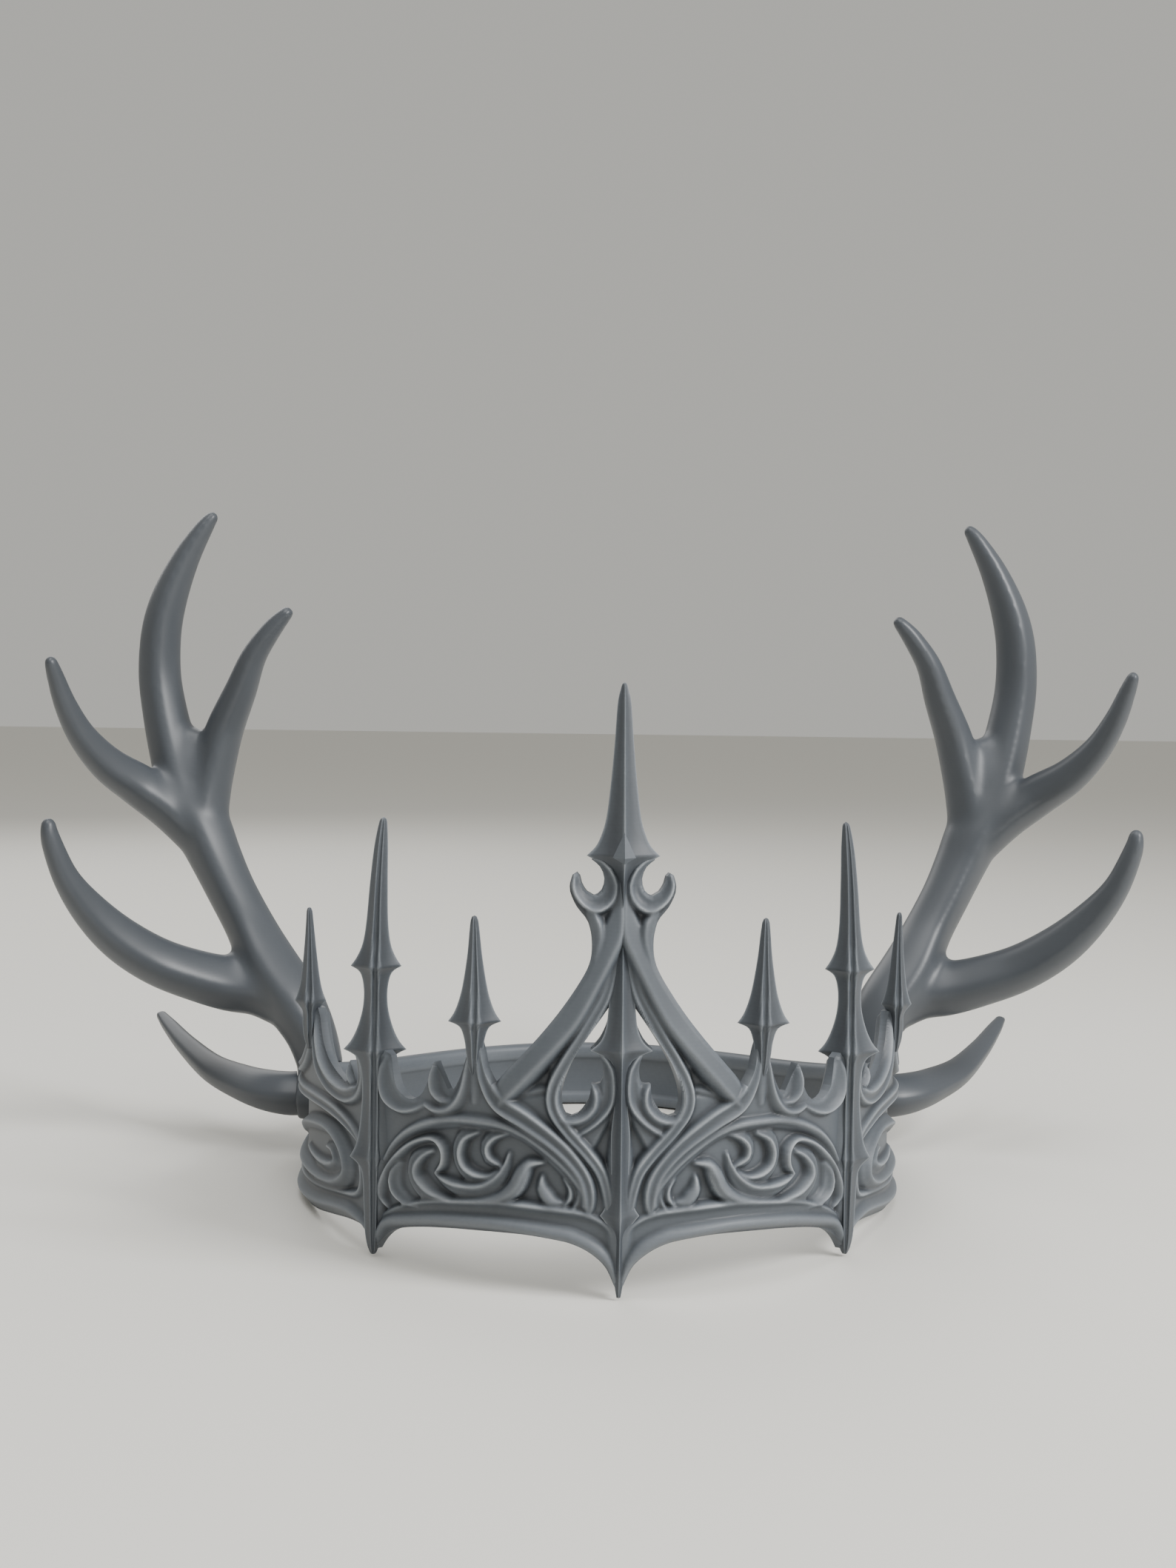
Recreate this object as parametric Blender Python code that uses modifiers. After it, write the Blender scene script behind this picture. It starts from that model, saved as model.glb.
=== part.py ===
"""Antler crown: a carved Gothic front wall with spires, a plain band behind, and an antler at each side.

The front wall is drawn flat, as s (millimetres round the ring from the middle of the front), z (height)
and depth (outwards from the wall's face), then bent round the oval of the head.
"""
import math

import bmesh
import bpy
import numpy as np
from mathutils import Vector

MM = 0.001

# The ring that sits round the head, and the wall that stands on it
RING_HALF_WIDTH = 85.0
RING_HALF_DEPTH = 109.0
SIDE_SWELL = 4.0
SWELL_START = 95.0
SWELL_END = 145.0
SWELL_FADE_START = 175.0
SWELL_FADE_END = 225.0
FRONT_END = 158.0
PIECE_GAP = 0.3
WALL_BACK = -4.8
WALL_GROUND = -0.6
MOULDING_FLATNESS = 0.72
WALL_VOXEL = 0.7
CURVE_STEP = 3.2
MOULDING_STEP = 3.6

# The low band behind the head
BAND_BACK_HEIGHT = 21.5
BAND_RISE = 14.0
BAND_STEP = 7.5

# The middle spire leans back, like the forehead behind it
LEAN_AT_TOP = 10.0
TOP_HEIGHT = 150.3
LEAN_HALF_SPAN = 34.0

ANTLER_SIDES = 10
ANTLER_STEP = 11.0

# The seat that is cut in each antler, which clears the ring's outer face and top
RING_FACE = 0.1
CLEARANCE_INNER = -40.0
CLEARANCE_START = 120.0
CLEARANCE_END = 250.0
CLEARANCE_SECTIONS = 26

# Meshes are thinned to these counts, and edges sharper than this angle stay crisp
WALL_TRIANGLES = 5600
ANTLER_TRIANGLES = 1050
THINNING_TRIES = 6
THINNING_STEP = 12
SHARP_ANGLE = 35.0

GREY = (0.20, 0.215, 0.235, 1.0)
DARK_GREY = (0.165, 0.175, 0.19, 1.0)

# Wall outline, right half, from the middle of the foot round to the middle of the crest.
# Columns: s, z, 1 where the line turns a corner
WALL_OUTLINE = (
    (0.0, 0.6, 1), (1.2, 3.2, 0), (4.0, 8.4, 0), (10.0, 12.6, 0), (20.0, 14.2, 0), (32.0, 14.0, 0),
    (46.0, 12.6, 0), (58.0, 10.7, 0), (66.0, 8.4, 0), (71.2, 4.4, 0), (73.6, 0.0, 1), (77.0, 3.4, 0),
    (81.0, 5.6, 0), (90.0, 5.4, 0), (104.0, 3.2, 0), (118.0, 1.0, 0), (131.0, 0.0, 1), (158.0, 0.0, 1),
    (158.0, 35.5, 1), (148.0, 37.5, 0), (136.0, 41.0, 0), (128.0, 46.0, 0), (123.0, 53.0, 1),
    (114.0, 53.0, 1), (111.0, 47.5, 0), (104.0, 44.0, 0), (95.4, 42.0, 1), (93.0, 42.6, 0),
    (90.8, 48.4, 1), (88.0, 44.8, 0), (84.6, 42.0, 0), (82.6, 45.0, 0), (83.6, 49.0, 0), (87.0, 52.0, 1),
    (80.0, 55.0, 1), (70.0, 56.0, 1), (66.0, 53.6, 1), (66.7, 49.6, 0), (64.6, 45.4, 0), (60.4, 43.5, 0),
    (55.8, 45.0, 0), (52.8, 49.6, 0), (50.7, 54.2, 1), (49.2, 50.0, 0), (46.4, 47.0, 0), (43.6, 50.6, 0),
    (41.2, 57.0, 0), (40.6, 61.0, 1), (36.2, 61.0, 1), (35.6, 56.0, 0), (32.8, 50.8, 1), (24.0, 59.8, 0),
    (16.6, 68.4, 0), (11.2, 76.0, 0), (8.2, 81.6, 0), (7.6, 86.5, 0), (8.6, 91.6, 0), (11.6, 95.4, 0),
    (13.1, 99.2, 0), (12.6, 102.0, 0), (10.9, 103.5, 1), (9.8, 100.8, 0), (7.2, 98.2, 0), (5.2, 99.8, 0),
    (4.6, 103.5, 1),
)

# The pierced opening at each side of the middle blade. Columns: s, z, corner
WALL_OPENING = (
    (3.2, 71.0, 1), (3.6, 67.5, 0), (5.4, 63.6, 0), (7.8, 61.0, 1), (5.4, 59.4, 0), (4.4, 55.6, 0),
    (5.2, 52.6, 0), (7.4, 52.4, 1), (8.0, 48.8, 0), (10.8, 45.0, 0), (14.0, 44.8, 0), (15.1, 49.6, 0),
    (12.8, 56.6, 0), (8.8, 63.2, 0),
)

# Raised mouldings and leaves, right half: each row is a point s, z and the half width there
MOULDINGS = {
    "foot_rail": (
        (1.0, 4.6, 0.8), (3.6, 11.0, 1.6), (8.0, 14.2, 2.1), (20.0, 16.3, 2.2), (34.0, 15.9, 2.2),
        (50.0, 14.3, 2.1), (62.0, 11.6, 2.2), (70.0, 7.0, 2.2), (73.6, 2.6, 1.2)),
    "great_scroll": (
        (1.4, 13.6, 0.8), (3.6, 17.8, 1.2), (10.0, 19.6, 1.3), (24.0, 20.3, 1.3), (40.0, 19.7, 1.3),
        (49.0, 19.4, 1.8), (55.0, 21.2, 2.5), (58.0, 25.2, 2.6), (56.4, 28.8, 1.8), (53.2, 30.5, 0.8)),
    "arch": (
        (8.4, 22.0, 1.0), (9.2, 26.2, 1.0), (14.0, 32.0, 1.1), (22.0, 38.0, 1.3), (33.0, 41.1, 1.4),
        (45.0, 40.4, 1.3), (56.0, 37.2, 1.2), (64.0, 32.5, 1.0), (69.0, 27.2, 0.8)),
    "gable_foot": (
        (6.0, 21.6, 1.0), (6.2, 26.0, 1.6), (9.6, 31.8, 2.0), (16.0, 38.4, 2.3), (24.0, 43.7, 2.6),
        (31.4, 46.6, 2.5), (36.4, 52.4, 1.7), (38.0, 59.6, 1.6)),
    "gable_beam": (
        (2.6, 91.0, 1.6), (4.8, 83.0, 2.5), (8.6, 75.2, 2.9), (13.4, 68.2, 2.9), (20.0, 60.0, 2.9),
        (26.6, 52.8, 2.7), (30.4, 49.4, 1.4)),
    "gable_loop": (
        (1.8, 82.0, 0.8), (4.6, 73.4, 1.6), (9.6, 65.2, 1.8), (14.4, 57.6, 1.8), (17.0, 50.0, 1.7),
        (15.6, 43.0, 1.5), (10.6, 37.2, 1.4), (5.4, 31.8, 1.2), (3.0, 26.4, 0.8)),
    "opening_leaf": (
        (6.6, 60.6, 0.6), (3.4, 58.0, 1.2), (2.6, 53.4, 1.3), (4.6, 48.0, 1.5), (9.0, 43.8, 1.8),
        (13.0, 42.6, 1.4)),
    "hook": (
        (6.2, 82.0, 1.4), (6.4, 88.4, 1.9), (9.0, 93.8, 2.2), (11.3, 98.4, 1.6), (10.9, 102.0, 0.8)),
    "stem_side": (
        (43.0, 44.0, 1.2), (41.0, 48.0, 1.6), (39.8, 53.0, 1.6), (39.4, 59.6, 1.6)),
    "small_spike": (
        (46.5, 44.8, 1.4), (49.8, 46.4, 1.8), (50.7, 49.8, 1.5), (50.7, 53.6, 0.6)),
    "cusp_leaf": (
        (64.6, 53.4, 1.0), (68.2, 50.6, 2.2), (69.6, 46.6, 3.0), (67.4, 42.4, 2.9), (62.0, 40.6, 1.8),
        (56.0, 41.6, 1.0)),
    "beak_scroll": (
        (19.4, 31.8, 0.5), (23.0, 32.4, 1.1), (25.2, 29.6, 1.7), (27.0, 25.8, 1.8), (31.0, 22.9, 1.3),
        (37.0, 21.4, 0.7)),
    "long_leaf": (
        (28.7, 33.4, 0.5), (29.2, 30.0, 0.9), (31.4, 26.6, 1.4), (36.0, 23.8, 1.7), (43.0, 23.6, 1.8),
        (49.6, 25.6, 0.6)),
    "crescent": (
        (38.2, 38.0, 0.6), (41.8, 36.8, 1.5), (43.4, 33.0, 1.7), (42.0, 29.0, 1.7), (38.0, 26.9, 1.6),
        (33.6, 27.6, 1.0), (31.4, 29.6, 0.5)),
    "small_hook": (
        (29.0, 38.4, 0.5), (33.0, 37.9, 1.2), (35.0, 35.2, 1.4), (34.2, 32.0, 1.3), (30.9, 30.6, 0.6)),
    "inner_curl": (
        (13.6, 28.4, 0.5), (11.2, 26.4, 0.9), (11.0, 23.8, 0.9), (13.8, 21.7, 0.7)),
    "inner_lobe": (
        (15.6, 25.0, 1.0), (17.4, 25.6, 2.4), (18.4, 28.4, 1.6), (19.4, 31.0, 0.6)),
    "link_leaf": (
        (49.6, 26.6, 0.5), (47.2, 29.4, 1.4), (47.6, 33.0, 1.5), (52.0, 34.2, 1.0), (59.0, 31.9, 0.9),
        (65.0, 28.0, 1.2), (69.6, 22.0, 1.5), (71.8, 17.0, 1.4), (69.4, 13.9, 0.8)),
    "cupped_leaf": (
        (57.0, 16.8, 0.6), (62.4, 17.0, 1.2), (65.6, 19.4, 1.6), (65.9, 22.8, 1.4), (63.8, 25.8, 0.6)),
    "side_rail": (
        (77.6, 5.6, 1.2), (84.0, 8.2, 1.9), (96.0, 7.0, 2.0), (112.0, 4.0, 2.0), (131.0, 2.1, 2.0),
        (156.0, 2.1, 2.0)),
    "side_crescent": (
        (84.6, 24.2, 0.6), (81.4, 21.6, 1.4), (81.0, 17.6, 1.6), (84.0, 13.8, 1.2), (94.0, 11.2, 0.9),
        (112.0, 8.2, 0.9), (131.0, 6.4, 0.9), (154.0, 6.4, 0.9)),
    "side_frame": (
        (82.0, 28.0, 0.8), (88.0, 30.6, 1.6), (98.0, 32.4, 1.8), (114.0, 32.4, 1.8), (132.0, 31.4, 1.8),
        (154.0, 30.6, 1.8)),
    "side_scroll": (
        (152.0, 12.0, 1.2), (138.0, 10.2, 1.9), (116.0, 10.6, 2.1), (98.0, 13.2, 2.2), (90.4, 18.4, 2.4),
        (94.6, 24.2, 2.3), (106.0, 27.4, 2.1), (122.0, 26.2, 2.0), (136.0, 22.4, 1.6), (142.0, 18.0, 0.7)),
    "side_heart": (
        (130.0, 15.6, 0.7), (116.0, 14.8, 1.6), (104.0, 15.8, 2.2), (98.6, 18.8, 1.9), (103.0, 21.8, 1.4),
        (110.0, 21.0, 0.7)),
    "pocket_leaf": (
        (84.8, 50.6, 0.8), (81.4, 46.6, 1.6), (82.0, 41.6, 2.0), (88.0, 38.4, 1.8), (100.0, 38.0, 1.8),
        (112.0, 40.6, 2.0), (117.0, 47.0, 2.2), (118.4, 52.4, 2.0)),
    "pocket_sickle": (
        (96.4, 41.9, 0.5), (104.0, 43.0, 1.0), (111.0, 46.0, 1.3), (114.8, 51.6, 1.2)),
    "side_brow": (
        (121.0, 50.0, 1.6), (125.0, 43.6, 1.8), (134.0, 38.8, 1.8), (154.0, 34.4, 1.5)),
}

# Star-shaped columns that rise from the wall.
# Columns: height, half width of the side ridges, half depth of the front ridge
MIDDLE_SPIRE = (
    (0.0, 0.5, 0.5), (12.0, 0.9, 1.4), (16.0, 1.1, 2.0), (20.4, 4.6, 3.6), (23.5, 3.1, 3.2),
    (30.0, 2.3, 2.9), (40.0, 2.7, 2.8), (47.0, 1.7, 2.4), (53.0, 1.4, 2.0), (58.0, 1.9, 2.2),
    (60.6, 7.6, 3.2), (62.8, 5.0, 3.0), (66.5, 2.9, 2.6), (74.0, 2.0, 2.3), (84.0, 2.2, 2.6),
    (92.0, 3.4, 3.2), (99.0, 4.9, 3.5), (103.4, 5.2, 3.8), (105.4, 6.3, 4.2), (107.9, 9.0, 5.2),
    (110.0, 6.9, 4.6), (112.5, 5.6, 4.0), (117.0, 4.3, 3.5), (125.0, 3.3, 2.8), (135.0, 2.4, 2.2),
    (145.0, 1.7, 1.6), (148.6, 0.9, 0.9), (150.3, 0.3, 0.3))
SHORT_SPIRE = (
    (46.0, 2.6, 2.2), (52.0, 3.4, 2.4), (58.0, 2.8, 2.6), (61.4, 2.8, 2.8), (63.8, 3.8, 3.2),
    (66.0, 6.5, 4.4), (68.0, 5.3, 3.9), (71.0, 4.1, 3.3), (75.0, 3.0, 2.8), (82.0, 1.9, 2.0),
    (88.0, 1.3, 1.3), (91.3, 0.9, 0.9), (92.2, 0.4, 0.4))
TALL_SPIRE = (
    (0.0, 0.6, 0.6), (6.0, 1.9, 1.7), (14.0, 2.3, 2.3), (21.0, 2.8, 2.7), (26.0, 4.7, 3.6),
    (30.0, 3.2, 3.0), (38.0, 2.5, 2.8), (46.0, 3.0, 3.1), (51.0, 4.6, 3.9), (54.2, 8.2, 5.2),
    (56.4, 6.4, 4.6), (60.0, 4.6, 3.9), (65.0, 3.3, 3.4), (70.0, 3.2, 3.4), (73.6, 4.3, 4.0),
    (76.0, 6.6, 5.4), (78.4, 5.0, 4.6), (82.0, 3.6, 3.8), (88.0, 2.8, 3.2), (98.0, 2.3, 2.6),
    (107.0, 1.7, 1.9), (112.6, 1.0, 1.1), (114.8, 0.4, 0.4))
OUTER_SPIRE = (
    (40.0, 2.8, 2.0), (50.0, 2.3, 2.6), (57.4, 2.4, 2.8), (60.3, 4.3, 4.0), (63.0, 3.4, 3.2),
    (67.0, 2.6, 2.7), (74.0, 1.8, 1.9), (82.0, 1.0, 1.0), (86.6, 0.4, 0.4))
STAR_FLUTE = 0.46
TIP_CURL = 6

# Below this height a column's back stays near the wall's inner face
SPIRE_FREE = 60.0
SPIRE_BACK = WALL_BACK - 0.4

# Where the columns stand. Columns: name, s, depth, inward curl and backward curl of the tip, its rows
SPIRES = (
    ("short_spire", 38.2, -0.7, -0.4, 1.4, SHORT_SPIRE),
    ("tall_spire", 74.6, -0.4, 1.7, 1.6, TALL_SPIRE),
    ("outer_spire", 118.6, 0.7, -0.6, 0.6, OUTER_SPIRE),
)

BROW_SEAM = 95.0

# Antler, right side, in the ring's frame. Columns: x, y, z, radius
ANTLER_BEAM = (
    (81.0, 40.0, 10.0, 7.0), (84.5, 40.0, 24.0, 7.8), (89.5, 40.5, 36.0, 8.4), (96.5, 43.0, 46.0, 9.6),
    (106.0, 48.5, 58.0, 9.6), (113.0, 54.0, 69.8, 8.2), (120.0, 58.0, 81.6, 8.1), (125.6, 61.5, 92.0, 8.7),
    (130.6, 64.0, 102.0, 9.6), (136.0, 66.0, 112.0, 9.2), (141.0, 69.0, 127.0, 8.2), (144.4, 71.0, 140.5, 7.5),
    (146.3, 72.0, 153.0, 7.1), (145.8, 72.0, 167.0, 6.7), (143.0, 72.0, 179.0, 6.0), (137.6, 72.0, 192.0, 4.6),
    (131.0, 72.0, 203.5, 2.5), (128.2, 72.0, 207.4, 1.3))
INNER_TINE = (
    (130.5, 64.5, 104.0, 7.4), (127.6, 66.0, 119.0, 7.3), (124.2, 66.0, 134.0, 6.4),
    (119.3, 63.0, 148.7, 5.1), (113.6, 60.0, 159.8, 4.1), (106.4, 58.0, 169.0, 3.1), (101.2, 57.0, 174.4, 1.6))
FORK_WEB = ((134.4, 66.0, 112.0, 7.4), (134.0, 68.0, 123.0, 7.0), (133.8, 68.4, 134.0, 4.2))
OUTER_TINE_HIGH = (
    (130.5, 62.5, 98.0, 7.4), (140.0, 61.0, 108.0, 7.8), (150.0, 57.0, 115.8, 7.2), (158.2, 48.5, 122.9, 6.0),
    (164.4, 40.0, 132.0, 4.7), (168.4, 33.5, 142.0, 3.5), (171.0, 29.0, 152.0, 2.3), (172.2, 26.4, 157.0, 1.5))
OUTER_TINE_LOW = (
    (99.0, 44.5, 45.5, 8.2), (109.0, 47.5, 50.4, 9.2), (118.0, 46.0, 52.0, 9.1), (127.0, 42.0, 54.8, 8.4),
    (139.0, 36.0, 60.2, 7.8), (149.4, 29.0, 68.2, 7.1), (157.5, 22.0, 78.0, 5.8), (163.4, 15.0, 89.0, 4.2),
    (167.4, 11.0, 101.0, 2.9), (168.2, 10.0, 107.6, 1.5))
BROW_ROOT = ((78.0, 37.6, 17.8, 7.4), (88.0, 38.0, 17.8, 8.6), (BROW_SEAM, 38.0, 17.8, 8.4))
BROW_TINE = (
    (BROW_SEAM + PIECE_GAP, 38.0, 17.8, 7.1), (98.6, 38.0, 17.8, 7.0), (105.5, 41.2, 18.1, 6.6),
    (114.0, 48.5, 18.8, 5.9), (125.5, 59.0, 21.2, 4.8), (136.6, 73.0, 26.0, 3.6), (145.0, 85.5, 30.6, 2.4),
    (149.6, 92.0, 33.6, 1.3))


def clear_scene():
    for old in list(bpy.data.objects):
        bpy.data.objects.remove(old, do_unlink=True)


def new_collection(name):
    group = bpy.data.collections.new(name)
    bpy.context.scene.collection.children.link(group)
    return group


def plastic(name, colour, roughness):
    """A matt printed plastic with a faint sheen."""
    mat = bpy.data.materials.new(name)
    mat.use_nodes = True
    shader = mat.node_tree.nodes["Principled BSDF"]
    shader.inputs["Base Color"].default_value = colour
    shader.inputs["Roughness"].default_value = roughness
    shader.inputs["Metallic"].default_value = 0.0
    return mat


def ring_table():
    """Arc length from the front, against the angle round the oval."""
    angle = np.linspace(0.0, math.pi, 4001)
    x = RING_HALF_WIDTH * np.sin(angle)
    y = -RING_HALF_DEPTH * np.cos(angle)
    arc = np.concatenate(([0.0], np.cumsum(np.hypot(np.diff(x), np.diff(y)))))
    return arc, angle


ARC, ANGLE = ring_table()
RING_HALF_LENGTH = float(ARC[-1])


def ease(value, start, end):
    t = min(max((value - start) / (end - start), 0.0), 1.0)
    return t * t * (3.0 - 2.0 * t)


def side_swell(s):
    """How far the ring stands out past the oval where the antlers root."""
    rise = ease(abs(s), SWELL_START, SWELL_END)
    fall = ease(abs(s), SWELL_FADE_START, SWELL_FADE_END)
    return SIDE_SWELL * rise * (1.0 - fall)


def lean_back(s, z):
    """The middle of the front leans back as it rises."""
    share = 1.0 - ease(abs(s), 0.0, LEAN_HALF_SPAN)
    return LEAN_AT_TOP * (max(z, 0.0) / TOP_HEIGHT) ** 2 * share


def on_ring(s, z, depth):
    """Flat wall coordinates in millimetres to a point in metres."""
    angle = float(np.interp(abs(s), ARC, ANGLE))
    x = RING_HALF_WIDTH * math.sin(angle)
    y = -RING_HALF_DEPTH * math.cos(angle)
    normal = Vector((math.sin(angle) / RING_HALF_WIDTH, -math.cos(angle) / RING_HALF_DEPTH)).normalized()
    out = depth + side_swell(s)
    side = math.copysign(1.0, s)
    point = Vector((side * (x + normal.x * out), y + normal.y * out + lean_back(s, z), z))
    return point * MM


def catmull_rom(a, b, c, d, t):
    return 0.5 * (2 * b + (c - a) * t + (2 * a - 5 * b + 4 * c - d) * t * t
                  + (3 * b - 3 * c + d - a) * t * t * t)


def smooth_line(rows, step):
    """A smooth line through the rows, with a point about every step."""
    points = [Vector(row) for row in rows]
    line = []
    for i in range(len(points) - 1):
        a = points[max(i - 1, 0)]
        b, c = points[i], points[i + 1]
        d = points[min(i + 2, len(points) - 1)]
        count = max(1, round((c - b).length / step))
        line += [catmull_rom(a, b, c, d, k / count) for k in range(count)]
    return line + [points[-1]]


def smooth_outline(rows, step):
    """A line through the rows that is smooth except at the rows marked as corners."""
    line = []
    stretch = []
    for s, z, corner in rows:
        stretch.append((s, z, 0.0))
        if corner and len(stretch) > 1:
            line += smooth_line(stretch, step)[:-1]
            stretch = stretch[-1:]
    if len(stretch) > 1:
        line += smooth_line(stretch, step)[:-1]
    last = stretch[-1]
    return line + [Vector(last)]


def mirrored(points):
    """The same line at the other side of the front, run the other way."""
    return [Vector((-p.x, p.y, p.z)) for p in reversed(points)]


def as_mesh(name, source, group):
    """A curve's evaluated mesh, with its caps welded, as an object of its own."""
    bpy.context.view_layer.update()
    graph = bpy.context.evaluated_depsgraph_get()
    mesh = bpy.data.meshes.new_from_object(source.evaluated_get(graph))
    bm = bmesh.new()
    bm.from_mesh(mesh)
    bm.transform(source.matrix_world)
    bmesh.ops.remove_doubles(bm, verts=bm.verts, dist=1e-6)
    bmesh.ops.recalc_face_normals(bm, faces=bm.faces)
    bm.to_mesh(mesh)
    bm.free()
    bpy.data.objects.remove(source, do_unlink=True)
    solid = bpy.data.objects.new(name, mesh)
    group.objects.link(solid)
    return solid


def flat_panel(name, loops, group):
    """A flat plate with the loops as its edge and openings, as thick as the wall's ground."""
    curve = bpy.data.curves.new(name, "CURVE")
    curve.dimensions = "2D"
    curve.fill_mode = "BOTH"
    curve.extrude = (WALL_GROUND - WALL_BACK) * MM / 2
    for loop in loops:
        spline = curve.splines.new("POLY")
        spline.points.add(len(loop) - 1)
        spline.use_cyclic_u = True
        for point, at in zip(spline.points, loop):
            point.co = (at.x * MM, at.y * MM, 0.0, 1.0)
    plate = bpy.data.objects.new(name + "_curve", curve)
    plate.location.z = (WALL_GROUND + WALL_BACK) * MM / 2
    group.objects.link(plate)
    return as_mesh(name, plate, group)


def moulding(name, rows, side, group):
    """A raised, half-sunk bead of changing width along a smooth line."""
    curve = bpy.data.curves.new(name, "CURVE")
    curve.dimensions = "3D"
    curve.bevel_depth = MM
    curve.bevel_resolution = 1
    curve.use_fill_caps = True
    line = smooth_line(rows, MOULDING_STEP)
    spline = curve.splines.new("POLY")
    spline.points.add(len(line) - 1)
    for point, at in zip(spline.points, line):
        point.co = (side * at.x * MM, at.y * MM, 0.0, 1.0)
        point.radius = at.z
    bead = bpy.data.objects.new(name + "_curve", curve)
    bead.scale.z = MOULDING_FLATNESS
    bead.location.z = (WALL_GROUND + 0.1) * MM
    group.objects.link(bead)
    return as_mesh(name, bead, group)


def loft(name, sections, group):
    """A closed skin over sections that have the same number of points, pointed or flat at its ends."""
    bm = bmesh.new()
    rings = [[bm.verts.new(p) for p in section] for section in sections]
    count = len(rings[0])
    for low, high in zip(rings, rings[1:]):
        for k in range(count):
            n = (k + 1) % count
            bm.faces.new((low[k], low[n], high[n], high[k]))
    bm.faces.new(list(reversed(rings[0])))
    bm.faces.new(rings[-1])
    bmesh.ops.recalc_face_normals(bm, faces=bm.faces)
    mesh = bpy.data.meshes.new(name)
    bm.to_mesh(mesh)
    bm.free()
    skin = bpy.data.objects.new(name, mesh)
    group.objects.link(skin)
    return skin


def star(x, y, z, half_width, front, back):
    """Four ridges with a hollow between each two, seen from above."""
    corners = ((half_width, 0.0), (0.0, back), (-half_width, 0.0), (0.0, -front))
    section = []
    for k, (ax, ay) in enumerate(corners):
        bx, by = corners[(k + 1) % 4]
        section.append(Vector((x + ax, y + ay, z)) * MM)
        section.append(Vector((x + (ax + bx) * STAR_FLUTE, y + (ay + by) * STAR_FLUTE, z)) * MM)
    return section


def spire(name, s, depth, curl_in, curl_back, rows, group):
    """A star-shaped column that stands in the wall and tapers to a point."""
    top = rows[-1][0]
    side = math.copysign(1.0, s) if s else 0.0
    sections = []
    for z, half_width, half_depth in rows:
        middle = on_ring(s, z, depth) / MM
        curl = (z / top) ** TIP_CURL
        behind = half_depth if z > SPIRE_FREE else min(half_depth, depth - SPIRE_BACK)
        sections.append(star(middle.x - side * curl_in * curl, middle.y + curl_back * curl, z,
                             half_width, half_depth, behind))
    return loft(name, sections, group)


def apply_modifiers(solid):
    bpy.context.view_layer.update()
    graph = bpy.context.evaluated_depsgraph_get()
    mesh = bpy.data.meshes.new_from_object(solid.evaluated_get(graph))
    solid.modifiers.clear()
    solid.data = mesh


def combine(target, others, operation, group):
    """Joins the others to the target, or cuts them from it, in one exact Boolean, and removes them."""
    tools = new_collection(target.name + "_tools")
    for other in others:
        tools.objects.link(other)
        group.objects.unlink(other)
    joint = target.modifiers.new("combine", "BOOLEAN")
    joint.operation = operation
    joint.operand_type = "COLLECTION"
    joint.collection = tools
    joint.solver = "EXACT"
    apply_modifiers(target)
    for other in others:
        bpy.data.objects.remove(other, do_unlink=True)
    bpy.data.collections.remove(tools)
    return target


def clear_pinches(mesh):
    """Opens the places where the skin touches itself along an edge, and closes each with its own patch."""
    bm = bmesh.new()
    bm.from_mesh(mesh)
    pinched = list({vert for edge in bm.edges if not edge.is_manifold for vert in edge.verts})
    if pinched:
        bmesh.ops.delete(bm, geom=pinched, context="VERTS")
        rims = [edge for edge in bm.edges if edge.is_boundary]
        patch = bmesh.ops.holes_fill(bm, edges=rims, sides=0)["faces"]
        bmesh.ops.triangulate(bm, faces=patch)
    closed = all(edge.is_manifold for edge in bm.edges)
    bm.to_mesh(mesh)
    bm.free()
    return closed


def lighten(solid, triangles):
    """Thins the mesh to about this many triangles, and to a few less while it would touch itself."""
    whole = solid.data.copy()
    bm = bmesh.new()
    bm.from_mesh(whole)
    bmesh.ops.triangulate(bm, faces=bm.faces)
    count = len(bm.faces)
    bm.to_mesh(whole)
    bm.free()
    for attempt in range(THINNING_TRIES):
        solid.data = whole.copy()
        thin = solid.modifiers.new("thin", "DECIMATE")
        thin.ratio = min(1.0, (triangles - attempt * THINNING_STEP) / count)
        apply_modifiers(solid)
        if clear_pinches(solid.data):
            break


def even_out(solid):
    """Gives the flat wall an even mesh, which bends without cuts."""
    remesh = solid.modifiers.new("even", "REMESH")
    remesh.mode = "VOXEL"
    remesh.voxel_size = WALL_VOXEL * MM
    apply_modifiers(solid)


def bend_to_ring(solid):
    for vert in solid.data.vertices:
        vert.co = on_ring(vert.co.x / MM, vert.co.y / MM, vert.co.z / MM)


def front_crown(group):
    half = smooth_outline(WALL_OUTLINE, CURVE_STEP)
    edge = half + mirrored(half)[:-1]
    hole = smooth_outline(WALL_OPENING + WALL_OPENING[:1], CURVE_STEP)[:-1]
    wall = flat_panel("front_crown", (edge, hole, mirrored(hole)), group)
    raised = []
    for side in (1, -1):
        for name, rows in MOULDINGS.items():
            raised.append(moulding(name, rows, side, group))
    combine(wall, raised, "UNION", group)
    even_out(wall)
    bend_to_ring(wall)
    lighten(wall, WALL_TRIANGLES)
    columns = []
    for name, s, depth, lean_in, lean_away, rows in SPIRES:
        for side in (1, -1):
            columns.append(spire(name, side * s, depth, lean_in, lean_away, rows, group))
    columns.append(spire("middle_spire", 0.0, -0.5, 0.0, 0.0, MIDDLE_SPIRE, group))
    return combine(wall, columns, "UNION", group)


def band_height(s):
    return BAND_BACK_HEIGHT + BAND_RISE * ((RING_HALF_LENGTH - abs(s)) / (RING_HALF_LENGTH - FRONT_END)) ** 3


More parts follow.
